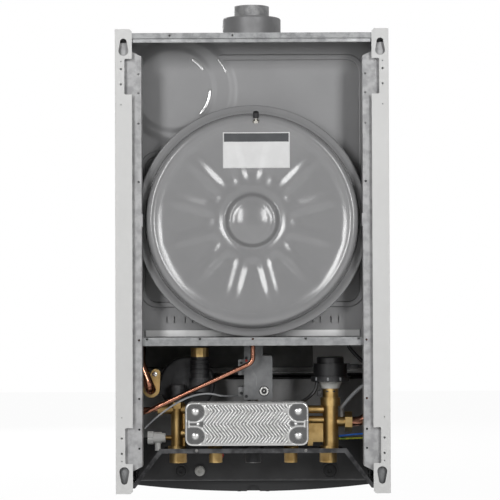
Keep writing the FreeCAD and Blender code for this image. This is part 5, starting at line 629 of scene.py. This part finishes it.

# pressed cover of the plate heat exchanger, with painted shade in its troughs and discs and painted highlight
# on its crests
plate = dict(
    step=0.8, corner=12.5, seat=75.2, sheet=0.5, edge=3.2, level=2.5,
    ports=[(17.3, 16.0), (17.3, 56.8), (189.7, 16.0), (189.7, 56.8)], portLevel=1.9, portEase=(14.2, 15.8),
    dome=7.6, domeRise=1.3, domeEase=(0.05, 1.0),
    lip=16.8, lipHalf=(0.3, 2.4), lipRise=0.75, lipRoom=(4.0, 6.5),
    pitch=5.7, slope=0.8, ridge=0.62, turns=(14.9, 36.4, 57.6), fieldRoom=(3.5, 6.0), fieldStart=(17.5, 20.5),
    channelHalf=(3.7, 6.2), channelReach=(30.0, 33.0), channelSink=0.6,
    noses=[(38.5, 15.0), (38.5, 56.8), (168.5, 15.0), (168.5, 56.8)], noseEase=(2.2, 5.2),
    bar=6.6, barHalf=(0.3, 1.8), barTall=(5.0, 7.0), spark=21.5, sparkEase=(0.5, 3.2),
    shadeDome=(0.3, 0.9), shadeRim=(1.5, 4.0), shadeLip=0.9, shadePlain=0.55, shadeLeast=0.12,
)
plateLow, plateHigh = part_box("exchanger_cover_plate")
plateSpan = (plateHigh[0] - plateLow[0]) * 1000
plateDrop = (plateHigh[2] - plateLow[2]) * 1000


def cornerEase(u, v):  # pull the grid's corners in to a round
    radius = plate["corner"]
    signU, signV = (-1 if u < plateSpan / 2 else 1), (-1 if v < plateDrop / 2 else 1)
    baseU = radius if signU < 0 else plateSpan - radius
    baseV = radius if signV < 0 else plateDrop - radius
    du, dv = (u - baseU) * signU / radius, (v - baseV) * signV / radius
    if du <= 0 or dv <= 0:
        return u, v
    return (baseU + signU * radius * du * math.sqrt(1 - dv * dv / 2),
            baseV + signV * radius * dv * math.sqrt(1 - du * du / 2))


def edgeRoom(u, v):  # how far a point lies inside the rounded outline
    radius = plate["corner"]
    du = max(abs(u - plateSpan / 2) - (plateSpan / 2 - radius), 0.0)
    dv = max(abs(v - plateDrop / 2) - (plateDrop / 2 - radius), 0.0)
    straight = min(plateSpan / 2 - abs(u - plateSpan / 2), plateDrop / 2 - abs(v - plateDrop / 2))
    return radius - math.hypot(du, dv) if du > 0 and dv > 0 else straight


def ridgeShift(v):
    shift, last, sign = 0.0, 0.0, 1
    for stop in plate["turns"]:
        shift += sign * (min(v, stop) - last)
        if v <= stop:
            return shift
        last, sign = stop, -sign
    return shift + sign * (v - last)


def plateRise(u, v):  # height over the seat, and the painted shade: pale on crests, lips, domes and rim as painted highlight, dark in troughs and discs
    room = edgeRoom(u, v)
    rise = plate["level"]
    field = smoothStep(room, *plate["fieldRoom"])
    lip = disc = dome = 0.0
    for portU, portV in plate["ports"]:
        inward = (u - portU) * (1 if portU < plateSpan / 2 else -1)
        middle = (v - portV) * (1 if portV < plateDrop / 2 else -1)
        reach = math.hypot(max(inward, 0.0), middle if inward > 0 else max(middle, 0.0))
        field *= smoothStep(reach, *plate["fieldStart"])
        disc = max(disc, 1 - smoothStep(reach, *plate["portEase"]))
        lip = max(lip, 1 - smoothStep(abs(reach - plate["lip"]), *plate["lipHalf"]))
        near = math.hypot(u - portU, v - portV) / plate["dome"]
        rise += plate["domeRise"] * (1 - smoothStep(near, *plate["domeEase"]))
        dome = max(dome, 1 - smoothStep(near, *plate["shadeDome"]))
    lip *= smoothStep(room, *plate["lipRoom"])
    inEnd, offMiddle = min(u, plateSpan - u), v - plate["turns"][1]
    channel = 1 - smoothStep(abs(offMiddle), *plate["channelHalf"])
    channel *= 1 - smoothStep(inEnd, *plate["channelReach"])
    field *= 1 - channel
    for noseU, noseV in plate["noses"]:
        field *= smoothStep(math.hypot(u - noseU, v - noseV), *plate["noseEase"])
    bar = 1 - smoothStep(abs(inEnd - plate["bar"]), *plate["barHalf"])
    bar *= 1 - smoothStep(abs(offMiddle), *plate["barTall"])
    spark = 1 - smoothStep(math.hypot(inEnd - plate["spark"], offMiddle), *plate["sparkEase"])
    rise += (plate["portLevel"] - plate["level"]) * max(disc, channel * plate["channelSink"])
    rise += plate["lipRise"] * max(lip, bar, spark)
    phase = 2 * math.pi * (u - plate["slope"] * ridgeShift(v)) / plate["pitch"]
    rise += plate["ridge"] * math.cos(phase) * field
    share = min(max(room / plate["edge"], 0.0), 1.0)
    plain = plate["shadePlain"] * (1 - disc) * (1 - channel)
    shade = plain + (0.5 + 0.5 * math.cos(phase) - plain) * field
    rim = 1 - smoothStep(room, *plate["shadeRim"])
    shade = max(shade, dome, plate["shadeLip"] * lip, bar, spark, rim)
    least = plate["shadeLeast"]
    return rise * math.sqrt(1 - (1 - share) ** 2), least + (1 - least) * shade


def makePlate():
    across, down = round(plateSpan / plate["step"]), round(plateDrop / plate["step"])
    points, shades = [], []
    for row in range(down + 1):
        for column in range(across + 1):
            u, v = cornerEase(plateSpan * column / across, plateDrop * row / down)
            rise, shade = plateRise(u, v)
            points.append(spot(plateHigh[0] * 1000 - u, plate["seat"] - rise, plateHigh[2] * 1000 - v))
            shades.append(shade)
    mesh = plainMesh("exchangerPressing", points, gridFaces(down + 1, across + 1))
    mesh.attributes.new("shade", "FLOAT", "POINT").data.foreach_set("value", shades)
    faceAlong(mesh, len(mesh.polygons) // 2, (0, 1, 0))
    piece = addPiece("exchangerPressing", mesh, "pressedSteel", crease=70.0)
    thicken(piece, plate["sheet"])
    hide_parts("exchanger_cover_plate")


makePlate()
print("exchanger plate made")

# leads, hose and tube, on the routes of the wiring loom
leads = dict(
    sensorLead=dict(finish="leadGrey", radius=1.6, route=[
        (182, 78, -639.7), (163, 78, -620.2), (114, 78, -588.2), (75.5, 78, -580.0), (47.5, 83, -588.2),
        (26.6, 137, -588.2)]),
    mainsLead=dict(finish="leadBlack", radius=3.0, route=[
        (-160, 166, -488.5), (-160, 166, -503), (-192, 166, -536), (-215, 166, -552), (-223, 166, -555)]),
    drainTube=dict(finish="leadGrey", radius=3.0, route=[
        (-223, 134, -563.4), (-192, 134, -563.4), (-152, 134, -606.5), (-152, 150, -613),
        (-152, 150, -625.6)]),
    actuatorHose=dict(finish="leadBlack", radius=3.0, route=[
        (-109, 138, -565.3), (-109, 138, -577), (-95.4, 135, -592.5), (-84, 124.4, -597.9)]),
    plugLead=dict(finish="leadBlack", radius=3.2, route=[
        (-180.8, 150, -539.65), (-192, 134, -539.65), (-223, 134, -529.35)]),
    blueLead=dict(finish="leadBlue", radius=1.6, route=[
        (-223, 150, -654), (-182, 150, -654), (-146.4, 150, -659)]),
    earthLead=dict(finish="leadEarth", radius=1.6, route=[
        (-223, 150, -662), (-182, 150, -662), (-146.4, 150, -663.6)]),
)
for name, lead in leads.items():
    line = bpy.data.curves.new(name, "CURVE")
    line.dimensions = "3D"
    line.bevel_depth = lead["radius"] / 1000
    line.bevel_resolution = 4
    line.resolution_u = 12
    line.use_fill_caps = True
    run = line.splines.new("NURBS")
    run.points.add(len(lead["route"]) - 1)
    for point, place in zip(run.points, lead["route"]):
        point.co = (*spot(*place), 1.0)
    run.order_u = 3
    run.use_endpoint_u = True
    line.materials.append(looks[lead["finish"]])
    piece = bpy.data.objects.new(name, line)
    bpy.context.collection.objects.link(piece)
    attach(piece, "boiler")
    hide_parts("wiring_loom")
plug = dict(low=(-180.8, 145.0, -543.8), high=(-165.8, 155.0, -535.5), ease=1.2)
addSoftBox("actuatorPlug", plug["low"], plug["high"], plug["ease"], "blackPlastic", "black_plastic")
print("leads laid")

# cut threads on the five pipe ends under the bracket
threads = dict(
    ends=dict(returnThread=(127.0, 13.2, "brass", "brass_casting"),
              coldThread=(63.5, 10.5, "brass", "brass_casting"),
              gasThread=(0.0, 13.2, "pumpCast", "steel_rod"),
              hotThread=(-63.5, 10.5, "brass", "brass_casting"),
              flowThread=(-127.0, 13.2, "brass", "brass_casting")),
    depth=150.0, low=-702.6, high=-684.0, pitch=1.8, cutDepth=0.55, gap=0.05, sheet=0.4,
    segments=40, perTurn=6,
)


def makeThread(name, x, radius, finish, slotName):
    count, tall = threads["segments"], threads["high"] - threads["low"]
    rows = round(tall / threads["pitch"] * threads["perTurn"])
    points = []
    for row in range(rows + 1):
        rise = tall * row / rows
        ease = smoothStep(min(rise, tall - rise), 0.0, threads["pitch"])
        for n in range(count):
            share = (rise / threads["pitch"] - n / count) % 1.0
            reach = radius + threads["gap"] + threads["cutDepth"] * ease * (1 - abs(2 * share - 1))
            turn = 2 * math.pi * n / count
            points.append(spot(x + reach * math.cos(turn), threads["depth"] + reach * math.sin(turn),
                               threads["low"] + rise))
    mesh = plainMesh(name, points, gridFaces(rows + 1, count, loop=True))
    faceAlong(mesh, 0, mesh.polygons[0].center - spot(x, threads["depth"], threads["low"]))
    thicken(addPiece(name, mesh, finish), threads["sheet"])


for name, end in threads["ends"].items():
    makeThread(name, *end)

# screws and small fixings: rings in shares of the head, its rise flattened
headRise = 0.42
screwForms = dict(
    crossPan=[(0, 1.0), (0.25, 1.0), (0.62, 1.0, ("cross", 0.14)), (0.62, 1.9, ("cross", 0.14)), (0.72, 1.85),
              (0.92, 1.5), (1.0, 0.9), (1.0, 0.0), (0, 0.0)],
    hexSocket=[(0, 0.6), (0.52, 0.6, ("sides", 6)), (0.52, 1.9, ("sides", 6)), (0.86, 1.95), (1.0, 1.7),
               (1.0, 0.0), (0, 0.0)],
    sealDot=[(0, 1.0), (0.4, 0.92), (0.75, 0.65), (1.0, 0.0), (0, 0.0)],
)
screws = dict(
    flangeScrew=("crossPan", 4.6, (167.4, 145.0, -551.5), "zinc", "plated_brass"),
    bracketScrewRight=("crossPan", 2.8, (95.1, 80.0, -677.6), "steelRod", "plated_brass"),
    bracketScrewLeft=("crossPan", 2.8, (-88.1, 80.0, -677.6), "steelRod", "plated_brass"),
    valveSeal=("sealDot", 2.3, (11.0, 120.0, -528.2), "redPlastic", "red_plastic"),
    valveScrewHigh=("hexSocket", 2.4, (11.3, 120.0, -523.6), "blackPlastic", "black_plastic"),
    valveScrewLow=("hexSocket", 2.6, (11.3, 120.0, -588.6), "blackPlastic", "black_plastic"),
    lugScrewHigh=("hexSocket", 2.4, (20.2, 132.0, -532.5), "blackPlastic", "black_plastic"),
    lugScrewLow=("hexSocket", 2.4, (20.2, 132.0, -584.0), "blackPlastic", "black_plastic"),
)
for name, (form, size, place, finish, slotName) in screws.items():
    rings = []
    for radius, rise, *outline in screwForms[form]:
        if outline and outline[0][0] == "cross":  # its bar scales with the head
            outline = [("cross", outline[0][1] * size)]
        rings.append((radius * size, rise * size * headRise, *outline))
    addTurned(name, rings, place, (0, 1, 0), finish)

# plated nut on the gas valve's plug, on a dark seat, with a dark core and a pin
valveNut = dict(x=-18.8, z=-580.0, forms=dict(
    valveNutSeat=(120.0, [(7.65, 0.0), (9.0, 0.0), (9.0, 0.4), (7.65, 0.4)], True,
                  "blackPlastic", "black_plastic"),
    valveNutRing=(118.2, [(4.3, 0.0), (7.3, 0.0), (7.6, 0.4), (7.2, 1.2), (5.1, 1.4), (4.3, 0.9)], True,
                  "zinc", "plated_brass"),
    valveNutCore=(118.2, [(0, 0.3), (2.2, 0.3), (2.6, 0.6), (4.2, 0.5), (4.25, 0.0), (0, 0.0)], False,
                  "blackPlastic", "black_plastic"),
    valveNutPin=(117.9, [(0, 0.7), (0.9, 0.6), (1.4, 0.2), (1.4, 0.0), (0, 0.0)], False,
                 "zinc", "plated_brass"),
))
for name, (depth, rings, loop, finish, slotName) in valveNut["forms"].items():
    addTurned(name, rings, (valveNut["x"], depth, valveNut["z"]), (0, 1, 0), finish, loop=loop)

# grey catches round the actuator's base
catches = dict(axis=(-132.5, 150.0), low=-563.0, high=-557.6, half=1.6, proud=0.8, ease=0.5,
               turns=dict(catchLeft=(24.8, -21.8), catchMiddle=(5.3, -32.6), catchRight=(-16.0, -28.9)))
for name, (aside, back) in catches["turns"].items():
    x, depth = catches["axis"][0] + aside, catches["axis"][1] + back
    swing = math.degrees(math.atan2(aside, -back))
    low = (x - catches["half"], depth - catches["proud"], catches["low"])
    high = (x + catches["half"], depth + catches["proud"], catches["high"])
    addSoftBox(name, low, high, catches["ease"], "leadGrey", "pale_plastic", turn=-swing)

# spring clip through the valve's neck: head at the side, bar across
neckClip = dict(ease=0.8, bits=dict(neckClipHead=((-117.5, 141.0, -590.0), (-110.0, 156.0, -580.5)),
                                    neckClipBar=((-140.0, 136.9, -583.2), (-124.5, 139.6, -580.4))))
for name, (low, high) in neckClip["bits"].items():
    addSoftBox(name, low, high, neckClip["ease"], "blackPlastic", "black_plastic")

# grey sheet over the back of the control box
shield = dict(low=(-196.0, 264.5, -668.0), high=(196.0, 265.8, -566.0), ease=0.4)
addSoftBox("boxShield", shield["low"], shield["high"], shield["ease"], "shieldSheet", "galvanised_sheet",
           "control_panel")

# folded strips under the top panel and on the shelf (the shelf strip pale as bare zinc and as painted light),
# sheet behind the hanging holes, a grey sheet in the cover as painted shade in the gaps
strips = dict(
    topReturn=((-196.0, 4.0, -1.2), (196.0, 5.2, 5.6), 0.4, "galvanised", "galvanised_sheet"),
    # the shelf strip: pale as bare zinc and as painted light where the upstand lies in shadow
    shelfFace=((-181.0, 111.2, -486.6), (181.0, 111.9, -476.2), 0.2, "zincAndPaintedLight", "galvanised_sheet"),
    hookBackRight=((200.0, 10.7, -29.0), (220.5, 12.05, -0.5), 0.4, "postSheet", "galvanised_sheet"),
    hookBackLeft=((-220.5, 10.7, -29.0), (-200.0, 12.05, -0.5), 0.4, "postSheet", "galvanised_sheet"),
    hookLowRight=((200.0, 10.7, -741.0), (220.5, 12.05, -700.0), 0.4, "gasCast", "galvanised_sheet"),
    hookLowLeft=((-220.5, 10.7, -741.0), (-200.0, 12.05, -700.0), 0.4, "gasCast", "galvanised_sheet"),
    # a grey sheet inside the front cover, painted shade seen through the gaps
    coverShadeSheet=((-108.0, 336.0, -548.0), (206.0, 343.9, 8.0), 2.0, "paintedShadeGrey", "black_rubber",
                 "front_cover"),
)
for name, strip in strips.items():
    addSoftBox(name, *strip)

# ribbed sleeve on the air vent
sleeve = dict(place=(91.5, 172.0, -551.0), bore=15.6, band=17.2, neck=16.3, tall=6.0, gap=2.2, ease=0.6,
              bands=3)
sleeveRings = [(sleeve["bore"], 0.0)]
for n in range(sleeve["bands"]):
    base = n * (sleeve["tall"] + sleeve["gap"])
    top = base + sleeve["tall"]
    sleeveRings += [(sleeve["neck"], base), (sleeve["band"], base + sleeve["ease"]),
                    (sleeve["band"], top - sleeve["ease"]), (sleeve["neck"], top)]
sleeveRings.append((sleeve["bore"], sleeveRings[-1][1]))
addTurned("ventSleeve", sleeveRings, sleeve["place"], (0, 0, 1), "blackPlastic", loop=True)

# grommets in the box's three cable eyes
grommets = dict(
    level=-727.5, face=265.9, rise=3.6,
    form=[(0, 0.55), (0.3, 0.55), (0.36, 0.9), (0.8, 1.0), (0.94, 0.8), (1.0, 0.3), (1.0, 0.0), (0, 0.0)],
    eyes=dict(grommetLeft=(128.0, 9.2, "rubber", "black_rubber"),
              grommetMiddle=(94.5, 9.2, "palePlastic", "pale_plastic"),
              grommetRight=(-135.5, 11.6, "rubber", "black_rubber")),
)
for name, (x, radius, finish, slotName) in grommets["eyes"].items():
    rings = [(radius * across, grommets["rise"] * up) for across, up in grommets["form"]]
    addTurned(name, rings, (x, grommets["face"], grommets["level"]), (0, 1, 0), finish,
              "control_panel")
print("threads, screws and catches made")

# pressure dial: face, marks and lens
dial = dict(
    x=118.0, z=-655.0, segments=64,
    face=341.0, faceRings=[(1.6, 0.0), (18.6, 0.0), (18.6, 0.15), (1.6, 0.15)],
    lens=343.7, lensRings=[(0, 0.7), (10.0, 0.6), (18.3, 0.35), (18.6, 0.1), (18.4, 0.0), (0, 0.0)],
    marks=13, sweep=270.0, inner=13.4, outer=17.2, half=0.28, longEvery=3, longShare=2.0,
    zone=(11.2, 12.6), zoneSweep=(-45.0, 45.0), zoneBits=18, lift=0.2, sheet=0.04,
)
addTurned("dialFace", dial["faceRings"], (dial["x"], dial["face"], dial["z"]), (0, -1, 0), "stickerWhite",
          "control_panel", dial["segments"], True)


# flat arc on the dial, in degrees from upright
def dialRing(name, start, end, inner, outer, finish, slotName, bits):
    points = []
    for n in range(bits + 1):
        turn = math.radians(start + (end - start) * n / bits)
        for reach in (inner, outer):
            points.append(spot(dial["x"] + reach * math.sin(turn), dial["face"] + dial["lift"],
                               dial["z"] + reach * math.cos(turn)))
    mesh = plainMesh(name, points, gridFaces(bits + 1, 2))
    faceAlong(mesh, 0, (0, -1, 0))
    thicken(addPiece(name, mesh, finish, "control_panel"), dial["sheet"])


for n in range(dial["marks"]):
    turn = -dial["sweep"] / 2 + dial["sweep"] * n / (dial["marks"] - 1)
    wide = dial["half"] * (1.0 if n % dial["longEvery"] else dial["longShare"])
    half = math.degrees(wide / dial["outer"])
    dialRing(f"dialMark{n}", turn - half, turn + half, dial["inner"], dial["outer"], "blackPlastic",
             "black_plastic", 1)
dialRing("dialZone", *dial["zoneSweep"], *dial["zone"], "boardGreen", "green_board", dial["zoneBits"])
addTurned("dialLens", dial["lensRings"], (dial["x"], dial["lens"], dial["z"]), (0, -1, 0), "clearLens",
          "control_panel", dial["segments"])

# white pointers on the two knobs
pointers = dict(bars=dict(heating_knob=-70.0, hot_water_knob=-130.0), half=0.8, low=-650.0, high=-637.0,
                back=344.1, front=344.6, ease=0.15)
for body, x in pointers["bars"].items():
    name = body.split("_knob")[0].replace("_", "") + "Pointer"
    low = (x - pointers["half"], pointers["back"], pointers["low"])
    high = (x + pointers["half"], pointers["front"], pointers["high"])
    addSoftBox(name, low, high, pointers["ease"], "whitePlastic", "white_plastic", body)
print("dial and pointers made")


# camera from behind, a little below the middle, level with the lower half
cameraSetup = dict(place=(0.0, 3.3, -0.418), pitch=1.2986, yaw=0.0743, roll=0.2246, lens=144.906, sensor=36.0)
cameraData = bpy.data.cameras.new("backCamera")
cameraData.lens = cameraSetup["lens"]
cameraData.sensor_width = cameraSetup["sensor"]
camera = bpy.data.objects.new("backCamera", cameraData)
camera.location = cameraSetup["place"]
camera.rotation_euler = (math.radians(90 + cameraSetup["pitch"]), math.radians(cameraSetup["roll"]),
                         math.radians(180 + cameraSetup["yaw"]))
bpy.context.collection.objects.link(camera)
bpy.context.scene.camera = camera


# two tall softboxes beside the camera and a wide one on the front side, pale backdrop, dim room
studio = dict(
    boxes=[("softLeft", (1.16, 2.95, 0.32), 34.0, 0.5, 1.2),
           ("softRight", (-1.16, 2.95, 0.32), 34.0, 0.5, 1.2),
           ("softFront", (0.7, -3.2, 0.5), 60.0, 1.6, 1.6)],
    aim=(0.0, -0.05, -0.4), fill=0.16, backdrop=(-0.3, 0.2),
    floorLevel=-0.86, floorColor=(240, 240, 239), floorRough=0.8, floorWhite=0.96, reach=6.0,
)
for name, place, power, wide, tall in studio["boxes"]:
    lamp = bpy.data.lights.new(name, "AREA")
    lamp.energy = power
    lamp.shape = "RECTANGLE"
    lamp.size = wide
    lamp.size_y = tall
    holder = bpy.data.objects.new(name, lamp)
    holder.location = place
    holder.rotation_euler = (Vector(studio["aim"]) - Vector(place)).to_track_quat("-Z", "Y").to_euler()
    bpy.context.collection.objects.link(holder)


def mixWhite(tree, shader, white, mask, end):
    mix = tree.nodes.new("ShaderNodeMixShader")
    tree.links.new(mask, mix.inputs[0])
    tree.links.new(shader.outputs[0], mix.inputs[1])
    tree.links.new(white.outputs[0], mix.inputs[2])
    tree.links.new(mix.outputs[0], tree.nodes[end].inputs["Surface"])


world = bpy.data.worlds.new("paleRoom")
bpy.context.scene.world = world
world.use_nodes = True
tree = world.node_tree
air = tree.nodes["Background"]
air.inputs["Strength"].default_value = studio["fill"]
air.inputs["Color"].default_value = (1.0, 1.0, 1.0, 1.0)
white = tree.nodes.new("ShaderNodeBackground")
white.inputs["Color"].default_value = (1.0, 1.0, 1.0, 1.0)
rays = tree.nodes.new("ShaderNodeLightPath")
facing = tree.nodes.new("ShaderNodeSeparateXYZ")
tree.links.new(tree.nodes.new("ShaderNodeTexCoord").outputs["Generated"], facing.inputs[0])
backdrop = addRange(tree, facing.outputs["Y"], *studio["backdrop"], 1.0, 0.0)
mirrored = addMath(tree, "MULTIPLY", rays.outputs["Is Glossy Ray"], backdrop)
seen = addMath(tree, "MAXIMUM", rays.outputs["Is Camera Ray"], rays.outputs["Is Transmission Ray"])
mixWhite(tree, air, white, addMath(tree, "MAXIMUM", seen, mirrored), "World Output")

reach = studio["reach"]
floorMesh = bpy.data.meshes.new("floor")
floorMesh.from_pydata([(-reach, -reach, 0), (reach, -reach, 0), (reach, reach, 0), (-reach, reach, 0)], [],
                      [(0, 1, 2, 3)])
floor = bpy.data.objects.new("floor", floorMesh)
floor.location.z = studio["floorLevel"]
bpy.context.collection.objects.link(floor)
floorLook = bpy.data.materials.new("paleFloor")
floorLook.use_nodes = True
tree = floorLook.node_tree
floorShader = tree.nodes["Principled BSDF"]
floorShader.inputs["Base Color"].default_value = tone(*studio["floorColor"])
floorShader.inputs["Roughness"].default_value = studio["floorRough"]
rays = tree.nodes.new("ShaderNodeLightPath")
seen = addMath(tree, "MAXIMUM", rays.outputs["Is Camera Ray"], rays.outputs["Is Transmission Ray"])
seen = addMath(tree, "MAXIMUM", seen, rays.outputs["Is Glossy Ray"])
mixWhite(tree, floorShader, tree.nodes.new("ShaderNodeEmission"),
         addMath(tree, "MULTIPLY", seen, studio["floorWhite"]), "Material Output")
floor.data.materials.append(floorLook)

bpy.context.scene.view_settings.view_transform = "Standard"
print("camera and light set")
